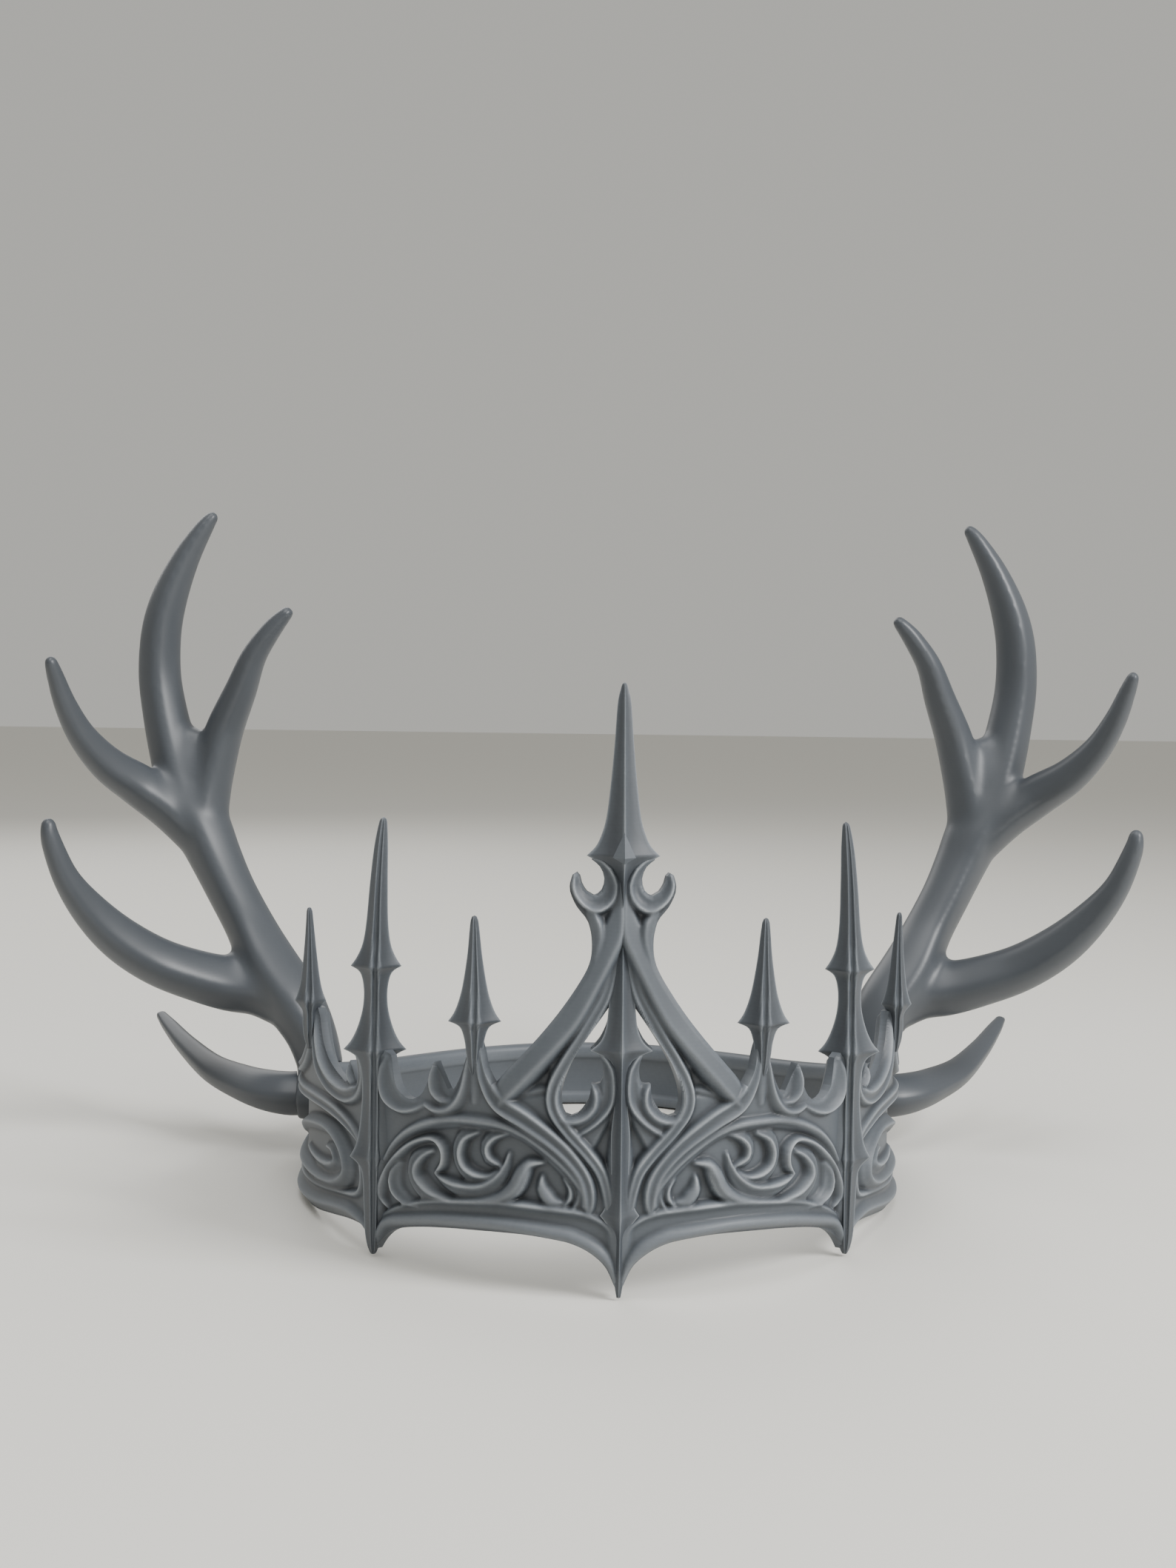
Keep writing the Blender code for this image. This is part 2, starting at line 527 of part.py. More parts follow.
def band_section(s):
    """The band's section, from the foot up the outer face and down the inner one."""
    top = band_height(s)
    profile = (
        (-4.6, 0.0), (-0.8, 0.0), (0.0, 0.9), (0.0, 3.2), (-1.2, 4.4), (-1.2, top - 5.6), (0.0, top - 4.4),
        (0.0, top - 1.5), (-1.3, top), (-4.1, top), (-5.4, top - 1.5), (-5.4, top - 4.4), (-4.2, top - 5.6),
        (-4.2, 4.4), (-5.4, 3.2), (-5.4, 0.9))
    return [on_ring(s, z, depth) for depth, z in profile]


def back_band(group):
    half = RING_HALF_LENGTH - FRONT_END - PIECE_GAP
    count = 2 * round(half / BAND_STEP)
    sections = []
    for k in range(count + 1):
        along = FRONT_END + PIECE_GAP + 2 * half * k / count
        s = along if along <= RING_HALF_LENGTH else along - 2 * RING_HALF_LENGTH
        sections.append(band_section(s))
    return loft("back_band", sections, group)


def limb_section(here, towards, radius):
    """A round section across the line of a tine, a little keeled at its front."""
    away = towards.normalized()
    front = Vector((0.0, -1.0, 0.0))
    front = (front - away * front.dot(away)).normalized()
    across = away.cross(front)
    section = []
    for k in range(ANTLER_SIDES):
        turn = 2.0 * math.pi * k / ANTLER_SIDES
        keel = 1.0 + 0.10 * max(0.0, math.cos(turn)) ** 4
        section.append((here + (front * math.cos(turn) * keel + across * math.sin(turn)) * radius) * MM)
    return section


def limb(name, rows, side, step, group):
    """A tine or beam lofted along a smooth line, mirrored to its side."""
    line = [(Vector((p[0], p[1], p[2])), p[3]) for p in smooth_line(rows, step)]
    sections = []
    for i, (here, radius) in enumerate(line):
        ahead = line[min(i + 1, len(line) - 1)][0] - line[max(i - 1, 0)][0]
        sections.append(limb_section(here, ahead, radius))
    sections = [[Vector((side * p.x, p.y, p.z)) for p in section] for section in sections]
    return loft(name, sections, group)


def ring_clearance(side, group):
    """A solid that fills the ring and the piece gap round it, to cut an antler's seat."""
    sections = []
    for k in range(CLEARANCE_SECTIONS + 1):
        s = CLEARANCE_START + (CLEARANCE_END - CLEARANCE_START) * k / CLEARANCE_SECTIONS
        top = band_height(max(s, FRONT_END)) + PIECE_GAP
        corners = ((CLEARANCE_INNER, -4.0), (RING_FACE + PIECE_GAP, -4.0), (RING_FACE + PIECE_GAP, top),
                   (CLEARANCE_INNER, top))
        sections.append([on_ring(side * s, z, depth) for depth, z in corners])
    return loft("ring_clearance", sections, group)


def antler(name, side, group):
    """A beam with its tines and the root of its brow tine, cut clear of the ring it saddles."""
    beam = limb(name, ANTLER_BEAM, side, ANTLER_STEP, group)
    tines = [limb(name + "_tine", rows, side, ANTLER_STEP, group)
             for rows in (INNER_TINE, FORK_WEB, OUTER_TINE_HIGH, OUTER_TINE_LOW, BROW_ROOT)]
    combine(beam, tines, "UNION", group)
    combine(beam, [ring_clearance(side, group)], "DIFFERENCE", group)
    lighten(beam, ANTLER_TRIANGLES)
    return beam


def centre_on_origin(pieces):
    """Puts the origin under the middle of the crown's box, on the surface it stands on."""
    corners = [vert.co for piece in pieces for vert in piece.data.vertices]
    low = [min(co[axis] for co in corners) for axis in range(3)]
    high = [max(co[axis] for co in corners) for axis in range(3)]
    shift = Vector((-(low[0] + high[0]) / 2, -(low[1] + high[1]) / 2, -low[2]))
    for piece in pieces:
        for vert in piece.data.vertices:
            vert.co += shift


def main():
    clear_scene()
    group = new_collection("antler_crown")
    carved = plastic("cast_grey", GREY, 0.48)
    horn = plastic("antler_grey", DARK_GREY, 0.52)
    pieces = {front_crown(group): carved, back_band(group): carved}
    for word, side in (("left", -1), ("right", 1)):
        pieces[antler("antler_" + word, side, group)] = horn
        pieces[limb("brow_tine_" + word, BROW_TINE, side, ANTLER_STEP, group)] = horn
    for piece, material in pieces.items():
        piece.data.materials.clear()
        piece.data.materials.append(material)
        piece.data.shade_smooth()
        piece.data.set_sharp_from_angle(angle=math.radians(SHARP_ANGLE))
    centre_on_origin(list(pieces))


main()
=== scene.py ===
"""Looks for the antler crown: the carved front wall with its spires, the plain band and the antlers.

The wall's carving is one relief map over the flat wall, as s (millimetres round the ring from the middle of
the front), z (height) and depth (outwards), bent round the oval of the head like the part's own wall.
"""
import math

import bmesh
import bpy
import numpy as np
from mathutils import Euler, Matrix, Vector


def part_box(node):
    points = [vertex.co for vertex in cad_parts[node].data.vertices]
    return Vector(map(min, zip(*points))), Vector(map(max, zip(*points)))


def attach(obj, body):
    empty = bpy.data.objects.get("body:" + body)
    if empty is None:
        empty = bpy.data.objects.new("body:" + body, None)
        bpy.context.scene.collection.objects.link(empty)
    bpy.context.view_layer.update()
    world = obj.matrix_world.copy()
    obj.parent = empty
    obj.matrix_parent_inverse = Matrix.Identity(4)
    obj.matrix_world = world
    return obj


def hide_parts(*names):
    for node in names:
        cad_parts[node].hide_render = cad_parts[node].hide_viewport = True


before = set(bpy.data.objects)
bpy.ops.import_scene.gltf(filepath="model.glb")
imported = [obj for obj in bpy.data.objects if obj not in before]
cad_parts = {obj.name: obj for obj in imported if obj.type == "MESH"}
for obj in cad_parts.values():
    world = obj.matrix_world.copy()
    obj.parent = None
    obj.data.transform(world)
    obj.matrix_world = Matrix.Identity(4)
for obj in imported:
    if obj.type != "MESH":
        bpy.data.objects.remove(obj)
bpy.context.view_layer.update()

MM = 0.001

# The ring, as in the part: an oval whose sides swell where the antlers stand, and whose front leans back
# in its middle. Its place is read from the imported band
RING_HALF_WIDTH = 85.0
RING_HALF_DEPTH = 109.0
RING_POINTS = 4001
SIDE_SWELL = 4.0
SWELL_START = 95.0
SWELL_END = 145.0
SWELL_FADE_START = 175.0
SWELL_FADE_END = 225.0
LEAN_AT_TOP = 10.0
LEAN_HALF_SPAN = 34.0
TOP_HEIGHT = 150.3
FRONT_END = 158.0
PIECE_GAP = 0.3
BAND_LOW, BAND_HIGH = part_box("back_band")
RING_Y = BAND_HIGH.y / MM - RING_HALF_DEPTH
RING_Z = BAND_LOW.z / MM
SIDES = (("left", -1), ("right", 1))

# The wall, in depths from the ring's face. The carving stands on its field and on its sunk panels
WALL_TOP = 108.0
WALL_SEAM = 74.6
WALL_BACK = -4.8
FIELD_DEPTH = -1.1
PANEL_DEPTH = -2.4
PANEL_SLOPE = 1.0

# The relief's maps: their reach along s and z, their step, the edge of their last cell, and their softening
MAP_ALONG = (-6.0, FRONT_END + 2.0)
MAP_UP = (-2.0, WALL_TOP + 4.0)
MAP_STEP = 0.2
MAP_MARGIN = 1.0
LAST_CELL = 1.001
LINE_STEP = 1.4
SOFTEN = 7

# A stroke of the carving is lower where it is narrower, down to the least share of its height
LEAST_HALF_WIDTH = 0.2
LEAST_SHARE = 0.35
TAPER_POWER = 0.7

# The wall's sheet of small squares. Its clear edge and its reaches are in steps, its corner turn in radians
WALL_STEP = 0.32
RIM_CLEAR = 0.2
RIM_REACH = 2.0
CORNER_TURN = 0.5
CORNER_REACH = 4.0
RIM_EASE = 4
RIM_EASE_ROUNDS = 5
RIM_MERGE = 0.02
RIM_ROUND = 1.3
RIM_DROP = 0.35
BACK_ROUND = 2.6
BACK_DROP = 1.6
MIDDLE_SLIVER = 1e-4

# Stands in for zero in a merge or a division
TINY = 1e-6

# How the relief's fine edges and its wide hollows turn into painted light and shade in the tone of the
# finish, from 0 to 1:
# painted highlights along its edges, painted shade in its creases and hollows
EDGE_BLUR = 14
EDGE_LIGHT_AND_SHADE = 0.85
HOLLOW_BLUR = 70
HOLLOW_SHADE = 0.09
MIDDLE_TONE = 0.5

# The plain band: its height at the back, its rise towards the wall, and the depths that its beads pass
BAND_BACK_HEIGHT = 21.5
BAND_RISE = 14.0
BAND_RISE_POWER = 3
BAND_STEP = 1.5
BEAD_FRONT = -1.0
BEAD_BACK = -4.9
# The band's painted shading: painted highlight on its beads, painted shade on the faces between; and the
# barb facet's painted highlight
BEAD_LIGHT_AND_SHADE = 0.06

# Outlines of the wall's two parts, right half, which meet behind the tall spire, and of the opening in
# the gable. Columns: s, z, 1 where the line turns a corner
FRONT_OUTLINE = (
    (0.0, 0.2, 1), (1.2, 3.2, 0), (4.0, 8.4, 0), (10.0, 12.6, 0), (20.0, 14.2, 0), (32.0, 14.0, 0),
    (46.0, 12.8, 0), (58.0, 10.8, 0), (66.0, 8.4, 0), (71.0, 5.2, 0), (WALL_SEAM, 1.4, 1),
    (WALL_SEAM, 54.6, 1), (70.6, 54.6, 1), (68.4, 53.4, 1), (67.0, 49.6, 0), (64.6, 45.4, 0),
    (60.4, 43.5, 0), (56.2, 45.2, 0), (53.6, 49.2, 0), (50.9, 54.4, 1), (48.6, 50.6, 0), (46.0, 47.4, 0),
    (43.4, 50.6, 0), (41.3, 56.0, 0), (40.2, 59.4, 0), (39.0, 62.0, 1), (37.4, 62.0, 1), (36.3, 59.0, 0),
    (35.2, 54.6, 0), (32.8, 50.8, 1), (24.0, 59.8, 0), (16.6, 68.4, 0), (11.2, 76.0, 0), (8.2, 81.6, 0),
    (7.6, 86.5, 0), (8.6, 91.6, 0), (11.6, 95.4, 0), (13.3, 99.0, 0), (13.3, 101.4, 0), (12.7, 103.2, 0),
    (11.8, 103.8, 0), (11.0, 103.0, 0), (10.5, 101.2, 0), (9.2, 99.2, 0), (7.4, 98.2, 0), (5.4, 99.5, 0),
    (4.7, 102.4, 0), (5.8, 105.2, 0), (7.9, 106.9, 1), (7.6, 107.8, 1), (0.0, 107.8, 1), (0.0, 0.2, 1))
SIDE_OUTLINE = (
    (WALL_SEAM, 1.4, 1), (77.2, 3.8, 0), (81.0, 5.6, 0), (90.0, 5.4, 0), (104.0, 3.2, 0), (118.0, 1.0, 0),
    (131.0, 0.1, 1), (158.0, 0.1, 1), (158.0, 35.5, 1), (148.0, 37.5, 0), (136.0, 41.0, 0),
    (128.0, 46.0, 0), (122.4, 51.6, 0), (120.2, 58.4, 1), (117.0, 58.4, 1), (114.8, 53.0, 0),
    (110.4, 47.2, 0), (104.0, 44.0, 0), (95.4, 42.0, 1), (93.0, 42.6, 0), (90.8, 48.4, 1),
    (88.0, 44.8, 0), (84.6, 42.0, 0), (82.6, 45.0, 0), (83.6, 49.0, 0), (87.0, 52.0, 1), (80.0, 54.4, 1),
    (WALL_SEAM, 54.6, 1), (WALL_SEAM, 1.4, 1))
WALL_OPENING = (
    (3.2, 71.0, 1), (3.6, 67.5, 0), (5.4, 63.6, 0), (7.8, 61.0, 1), (5.4, 59.4, 0), (4.4, 55.6, 0),
    (5.2, 52.6, 0), (7.4, 52.4, 1), (8.0, 48.8, 0), (10.8, 45.0, 0), (14.0, 44.8, 0), (15.1, 49.6, 0),
    (12.8, 56.6, 0), (8.8, 63.2, 0), (3.2, 71.0, 1))
WALL_PARTS = {"front": (FRONT_OUTLINE, WALL_OPENING), "side": (SIDE_OUTLINE,)}

# Panels that are sunk between the mouldings. Columns: s, z, 1 where the line turns a corner
SUNK_PANELS = {
    "scroll_panel": (
        (10.4, 21.6, 1), (11.0, 26.0, 0), (15.6, 31.2, 0), (24.0, 37.4, 0), (33.0, 39.6, 0),
        (45.0, 39.0, 0), (56.0, 36.0, 0), (64.0, 31.0, 0), (69.6, 24.0, 0), (73.6, 15.0, 1),
        (72.6, 10.6, 0), (66.0, 13.4, 0), (52.0, 17.2, 0), (32.0, 19.4, 0), (14.0, 19.2, 0),
        (10.4, 21.6, 1)),
    "side_panel": (
        (79.4, 19.0, 1), (81.0, 25.6, 0), (88.0, 29.4, 0), (100.0, 30.8, 0), (130.0, 30.4, 0),
        (157.0, 29.0, 1), (157.0, 6.2, 1), (131.0, 6.2, 0), (112.0, 8.4, 0), (94.0, 10.8, 0),
        (83.0, 12.8, 0), (79.4, 19.0, 1)),
    "gable_corner": (
        (17.6, 49.0, 1), (22.0, 48.4, 0), (27.4, 47.4, 1), (22.0, 53.0, 0), (17.2, 57.6, 1),
        (17.6, 49.0, 1)),
    "blade_corner": (
        (1.2, 48.0, 1), (3.0, 43.8, 1), (7.2, 36.2, 1), (5.0, 33.2, 0), (2.6, 28.0, 1), (1.4, 36.0, 0),
        (1.2, 48.0, 1)),
    "gable_flank": (
        (0.4, 86.6, 1), (3.0, 80.6, 0), (6.0, 74.4, 0), (10.4, 66.8, 0), (16.0, 60.0, 1), (10.0, 66.0, 0),
        (5.2, 72.4, 0), (1.6, 79.0, 0), (0.4, 86.6, 1)),
}

# Sections of the carving, from its right edge to its left edge as it runs. Columns: place across, height
CUTS = {
    "bead": (
        (-1.0, 0.0), (-0.82, 0.4), (-0.6, 0.7), (-0.35, 0.9), (0.0, 1.0), (0.35, 0.9), (0.6, 0.7),
        (0.82, 0.4), (1.0, 0.0)),
    "arris": (
        (-1.0, 0.0), (-0.75, 0.36), (-0.45, 0.56), (-0.2, 0.78), (0.0, 1.0), (0.2, 0.78), (0.45, 0.56),
        (0.75, 0.36), (1.0, 0.0)),
    "rib": (
        (-1.0, 0.0), (-0.8, 0.52), (-0.6, 1.0), (-0.4, 0.82), (-0.2, 0.68), (0.0, 0.63), (0.2, 0.68),
        (0.4, 0.82), (0.6, 1.0), (0.8, 0.52), (1.0, 0.0)),
    "left_leaf": (
        (-1.0, 0.0), (-0.8, 0.36), (-0.45, 0.42), (-0.1, 0.54), (0.22, 0.76), (0.46, 1.0), (0.7, 0.62),
        (1.0, 0.0)),
    "right_leaf": (
        (-1.0, 0.0), (-0.7, 0.62), (-0.46, 1.0), (-0.22, 0.76), (0.1, 0.54), (0.45, 0.42), (0.8, 0.36),
        (1.0, 0.0)),
    "left_scoop": (
        (-1.0, 0.5), (-0.8, 0.38), (-0.4, 0.34), (0.0, 0.42), (0.4, 0.66), (0.72, 1.0), (1.0, 0.1)),
    "right_scoop": (
        (-1.0, 0.1), (-0.72, 1.0), (-0.4, 0.66), (0.0, 0.42), (0.4, 0.34), (0.8, 0.38), (1.0, 0.5)),
    "beak": (
        (-1.0, 0.0), (-0.8, 0.9), (-0.58, 0.62), (-0.34, 1.0), (0.1, 0.92), (0.5, 0.72), (0.8, 0.4),
        (1.0, 0.0)),
    "left_slope": (
        (-0.4, 0.0), (-0.26, 0.46), (-0.1, 0.86), (0.0, 1.0), (0.12, 0.92), (0.9, 0.52), (1.0, 0.46)),
    "right_slope": (
        (-1.0, 0.46), (-0.9, 0.52), (-0.12, 0.92), (0.0, 1.0), (0.14, 0.8), (0.3, 0.42), (0.46, 0.0)),
    "pad": ((-1.0, 0.0), (-0.6, 0.7), (-0.2, 1.0), (0.2, 1.0), (0.6, 0.7), (1.0, 0.0)),
}

# The carving, right half. Each has its section, its depth at its root, its height, and its line.
# Columns of a line: s, z, half width
CARVING = {
    "blade_root": ("pad", -1.4, 1.6, (
        (0.0, 4.0, 1.4), (0.0, 20.0, 4.2), (0.0, 44.0, 2.2), (0.0, 60.0, 3.0))),
    "tall_root": ("pad", -1.4, 2.4, (
        (74.6, 2.0, 1.6), (74.6, 12.0, 3.2), (74.6, 26.0, 5.0), (74.6, 40.0, 4.0), (74.6, 54.0, 6.0))),
    "short_root": ("pad", -1.4, 1.2, ((38.2, 46.0, 1.4), (38.2, 52.0, 2.4), (38.2, 65.0, 2.4))),
    "outer_root": ("pad", -1.4, 1.2, ((118.6, 41.0, 1.6), (118.6, 48.0, 2.6), (118.6, 58.0, 2.8))),
    "foot_rail": ("bead", -1.9, 2.9, (
        (0.8, 3.2, 0.9), (2.4, 8.6, 1.9), (5.8, 12.0, 2.5), (10.6, 14.4, 2.5), (15.0, 15.4, 2.4),
        (30.0, 16.4, 2.1), (46.7, 15.0, 2.0), (58.0, 12.9, 1.9), (67.6, 10.4, 1.9), (71.6, 7.2, 1.7),
        (74.2, 2.0, 1.0))),
    "foot_bead": ("left_leaf", -2.4, 3.1, (
        (1.6, 12.4, 1.0), (3.6, 17.2, 1.6), (8.4, 19.6, 2.0), (14.8, 20.4, 2.1), (30.0, 20.8, 2.2),
        (42.0, 19.6, 2.0), (54.0, 17.6, 1.4), (64.0, 14.4, 1.1), (70.6, 11.4, 0.8))),
    "great_scroll": ("left_leaf", -2.4, 3.6, (
        (36.0, 20.0, 0.9), (46.0, 19.4, 1.8), (53.0, 20.3, 2.9), (57.6, 23.6, 3.3), (57.9, 27.4, 2.9),
        (55.0, 30.4, 1.6), (52.0, 31.6, 0.7))),
    "arch": ("bead", -1.6, 2.3, (
        (8.8, 22.4, 0.9), (9.3, 26.2, 1.1), (13.8, 31.8, 1.2), (20.0, 36.8, 1.3), (26.0, 40.0, 1.4),
        (33.0, 41.4, 1.5), (44.0, 41.0, 1.5), (52.0, 39.0, 1.4), (60.0, 35.4, 1.2), (66.0, 30.8, 1.0),
        (70.0, 26.0, 0.7))),
    "gable_foot": ("rib", -1.7, 3.4, (
        (7.8, 20.2, 0.7), (7.4, 22.6, 1.5), (7.6, 26.0, 2.0), (9.0, 30.0, 2.1), (12.6, 34.6, 2.3),
        (17.4, 38.8, 2.6), (24.0, 43.1, 3.0), (30.6, 46.6, 3.1), (34.6, 51.4, 2.3), (36.4, 56.6, 1.5),
        (37.4, 60.0, 0.9), (38.0, 62.0, 0.6))),
    "gable_loop": ("rib", -1.8, 3.1, (
        (1.2, 83.6, 0.8), (3.9, 74.2, 1.7), (8.7, 65.2, 2.1), (13.4, 57.6, 2.2), (16.6, 51.0, 2.1),
        (16.5, 46.0, 2.1), (13.3, 41.0, 1.9), (8.3, 35.6, 1.8), (4.8, 31.0, 1.7), (3.3, 26.4, 1.5),
        (2.6, 21.6, 1.1))),
    "gable_beam": ("left_slope", -1.4, 3.4, (
        (0.0, 106.0, 1.6), (0.0, 101.0, 1.6), (0.0, 97.6, 2.2), (0.0, 94.2, 3.2), (0.1, 91.0, 4.2),
        (0.8, 87.6, 5.0), (2.9, 83.0, 5.4), (6.6, 75.4, 5.4), (10.8, 67.8, 5.4), (16.0, 61.4, 5.2),
        (22.1, 54.8, 5.1), (28.0, 48.6, 4.6), (31.0, 45.6, 1.6))),
    "lower_bay": ("right_scoop", -1.8, 3.1, (
        (7.4, 60.9, 0.6), (4.9, 58.6, 1.2), (3.3, 55.6, 1.7), (2.9, 51.0, 1.8), (3.5, 47.4, 1.8),
        (5.9, 44.2, 1.7), (8.9, 41.6, 1.4), (11.4, 39.6, 0.8))),
    "hook_rim": ("arris", -1.8, 3.0, (
        (7.4, 52.2, 0.6), (6.2, 50.2, 1.5), (6.3, 47.0, 1.7), (8.6, 44.2, 1.8), (12.0, 43.0, 1.7),
        (15.2, 43.6, 1.2))),
    "corner_facet": ("arris", -2.4, 1.6, ((18.4, 50.6, 0.8), (22.0, 49.9, 1.8), (26.4, 48.2, 1.0))),
    "hook": ("right_slope", -1.5, 3.0, (
        (7.9, 80.6, 1.6), (6.1, 84.3, 2.4), (5.2, 88.0, 2.7), (5.6, 91.4, 2.9), (7.2, 94.4, 2.0))),
    "bay_ridge": ("right_scoop", -1.5, 3.4, (
        (7.6, 107.0, 0.6), (6.0, 106.3, 1.0), (4.0, 104.0, 1.7), (2.9, 100.7, 2.0), (3.7, 97.8, 2.2),
        (6.0, 96.0, 2.3), (8.6, 96.9, 2.2), (10.6, 99.0, 1.9), (11.5, 101.2, 1.5), (11.7, 102.9, 0.9))),
    "stem_side": ("arris", -1.7, 3.2, (
        (54.0, 43.1, 0.9), (50.0, 42.3, 1.7), (46.0, 43.0, 2.0), (42.8, 45.6, 2.2), (41.0, 49.6, 1.9),
        (40.0, 55.0, 1.4), (39.0, 59.4, 0.9), (38.4, 62.0, 0.6))),
    "small_spike": ("arris", -1.6, 3.0, (
        (51.0, 54.6, 0.6), (51.3, 50.6, 2.0), (50.6, 47.0, 2.2), (48.0, 44.9, 1.3), (45.4, 45.4, 0.6))),
    "cusp_leaf": ("left_scoop", -1.6, 3.4, (
        (69.4, 52.6, 0.6), (69.4, 50.8, 1.8), (69.2, 48.0, 2.8), (67.4, 44.2, 3.4), (63.2, 41.8, 2.5),
        (58.4, 42.0, 1.7), (54.6, 43.2, 0.8))),
    "beak_scroll": ("beak", -2.4, 3.6, (
        (19.4, 32.6, 0.6), (22.8, 32.0, 1.5), (24.8, 29.2, 2.4), (26.8, 25.6, 2.4), (31.0, 22.8, 1.8),
        (38.0, 21.2, 0.9))),
    "long_leaf": ("left_leaf", -2.4, 3.4, (
        (28.4, 33.8, 0.6), (29.4, 30.0, 1.3), (31.8, 26.6, 2.0), (36.2, 24.1, 2.3), (43.0, 23.5, 2.3),
        (48.0, 24.5, 1.5), (51.0, 25.9, 0.5))),
    "crescent": ("right_leaf", -2.4, 3.5, (
        (37.4, 38.4, 0.7), (41.4, 36.9, 2.0), (43.1, 33.0, 2.3), (42.0, 29.2, 2.3), (38.6, 27.1, 2.2),
        (34.4, 27.1, 1.4), (31.6, 29.2, 0.6))),
    "small_hook": ("right_leaf", -2.4, 3.3, (
        (29.0, 38.9, 0.6), (32.6, 38.0, 1.5), (34.9, 35.4, 1.8), (34.3, 32.2, 1.7), (30.8, 30.6, 0.7))),
    "inner_curl": ("arris", -2.4, 2.9, (
        (14.0, 28.7, 0.5), (12.3, 26.6, 1.0), (12.2, 24.2, 1.1), (13.8, 22.2, 0.7))),
    "curl_edge": ("arris", -2.4, 2.6, (
        (10.8, 27.6, 0.5), (10.2, 24.6, 0.9), (11.4, 21.8, 0.9), (14.2, 20.8, 0.5))),
    "inner_lobe": ("bead", -2.4, 2.5, (
        (19.6, 29.0, 0.6), (19.4, 26.0, 1.9), (17.2, 23.2, 2.1), (14.6, 23.0, 0.9))),
    "link_leaf": ("arris", -2.4, 3.5, (
        (51.0, 26.0, 0.5), (47.9, 29.0, 1.4), (47.8, 32.8, 1.6), (51.6, 34.8, 1.2), (58.0, 32.9, 1.1),
        (63.5, 29.2, 1.4), (68.0, 24.6, 1.7), (71.0, 19.8, 1.7), (71.6, 16.0, 1.2), (69.6, 13.6, 0.6))),
    "cupped_leaf": ("right_leaf", -2.4, 3.3, (
        (56.4, 16.6, 0.7), (62.2, 17.2, 1.6), (65.4, 19.6, 2.2), (65.8, 23.0, 2.0), (63.8, 26.4, 0.7))),
    "edge_curl": ("arris", -1.8, 2.6, (
        (78.6, 26.6, 0.6), (77.8, 20.0, 1.1), (78.6, 13.0, 1.2), (79.4, 8.4, 0.6))),
    "side_rail": ("arris", -1.6, 2.8, (
        (75.8, 3.0, 1.0), (79.4, 7.0, 1.9), (88.0, 8.4, 2.5), (98.0, 7.2, 2.6), (112.0, 4.8, 2.6),
        (126.0, 3.2, 2.6), (142.0, 2.8, 2.6), (158.0, 2.8, 2.6))),
    "side_crescent": ("bead", -2.4, 2.9, (
        (85.0, 24.8, 0.6), (81.6, 21.6, 1.4), (81.0, 17.4, 1.6), (84.4, 13.8, 1.3), (94.0, 11.8, 1.0),
        (112.0, 9.2, 1.0), (131.0, 7.6, 1.0), (158.0, 7.4, 1.0))),
    "side_frame": ("rib", -1.7, 3.0, (
        (80.8, 26.6, 0.8), (87.0, 30.8, 1.8), (98.0, 33.0, 2.2), (114.0, 33.4, 2.2), (132.0, 32.6, 2.2),
        (158.0, 31.4, 2.2))),
    "side_scroll": ("arris", -2.4, 3.6, (
        (157.0, 12.4, 1.1), (138.0, 11.2, 2.3), (116.0, 11.4, 2.8), (100.0, 13.4, 3.1), (91.4, 18.0, 3.3),
        (94.4, 23.6, 3.1), (106.0, 26.9, 2.9), (122.0, 25.2, 2.5), (136.0, 21.6, 1.8),
        (144.0, 17.4, 0.7))),
    "side_heart": ("right_leaf", -2.4, 3.2, (
        (130.0, 16.2, 0.8), (116.0, 15.2, 2.0), (104.0, 16.0, 2.9), (98.6, 18.9, 2.6), (103.0, 21.7, 1.8),
        (110.0, 21.0, 0.8))),
    "pocket_leaf": ("rib", -1.6, 3.2, (
        (87.6, 52.4, 0.7), (83.2, 49.8, 1.7), (81.6, 45.4, 2.2), (84.2, 41.2, 2.6), (92.0, 39.0, 2.8),
        (103.0, 39.8, 3.0), (111.6, 43.6, 3.2), (115.8, 49.6, 2.6), (117.4, 54.0, 1.6),
        (118.2, 57.8, 0.9))),
    "pocket_spike": ("arris", -1.6, 2.4, ((88.0, 42.8, 1.2), (90.2, 44.8, 1.3), (90.8, 48.0, 0.5))),
    "side_brow": ("rib", -1.6, 3.0, (
        (120.6, 51.6, 1.6), (124.4, 44.6, 2.1), (134.0, 39.0, 2.1), (158.0, 33.6, 1.6))),
}

# The spires and the blade, from foot to tip. Columns: height, half width, half depth, 1 at a sharp edge
MIDDLE_BLADE = (
    (0.2, 0.5, 0.5, 1), (5.0, 1.2, 1.3, 0), (12.0, 1.2, 1.8, 0), (16.0, 1.6, 2.3, 0), (20.4, 4.8, 3.4, 1),
    (23.5, 3.1, 3.1, 0), (30.0, 2.2, 3.0, 0), (40.0, 2.3, 2.9, 0), (47.0, 1.6, 2.7, 0),
    (53.0, 1.5, 2.5, 0), (58.0, 2.6, 2.6, 0), (60.6, 7.6, 3.3, 1), (62.8, 5.2, 3.1, 0),
    (66.0, 3.9, 2.9, 0), (71.0, 3.3, 2.7, 0), (77.0, 2.7, 2.3, 0), (82.0, 1.8, 1.8, 0),
    (86.0, 0.8, 1.2, 0), (88.0, 0.2, 0.4, 1))
MIDDLE_SPIRE = (
    (95.5, 0.3, 1.6, 1), (98.0, 0.8, 2.5, 0), (101.0, 1.2, 3.0, 0), (104.0, 2.8, 3.7, 0),
    (106.0, 5.6, 4.3, 0), (107.9, 9.0, 5.2, 1), (110.0, 6.9, 4.6, 0), (112.5, 5.6, 4.0, 0),
    (117.0, 4.3, 3.5, 0), (125.0, 3.3, 2.8, 0), (135.0, 2.4, 2.2, 0), (145.0, 1.7, 1.6, 0),
    (148.4, 1.0, 1.0, 0), (149.8, 0.6, 0.6, 0), (150.3, 0.0, 0.0, 1))
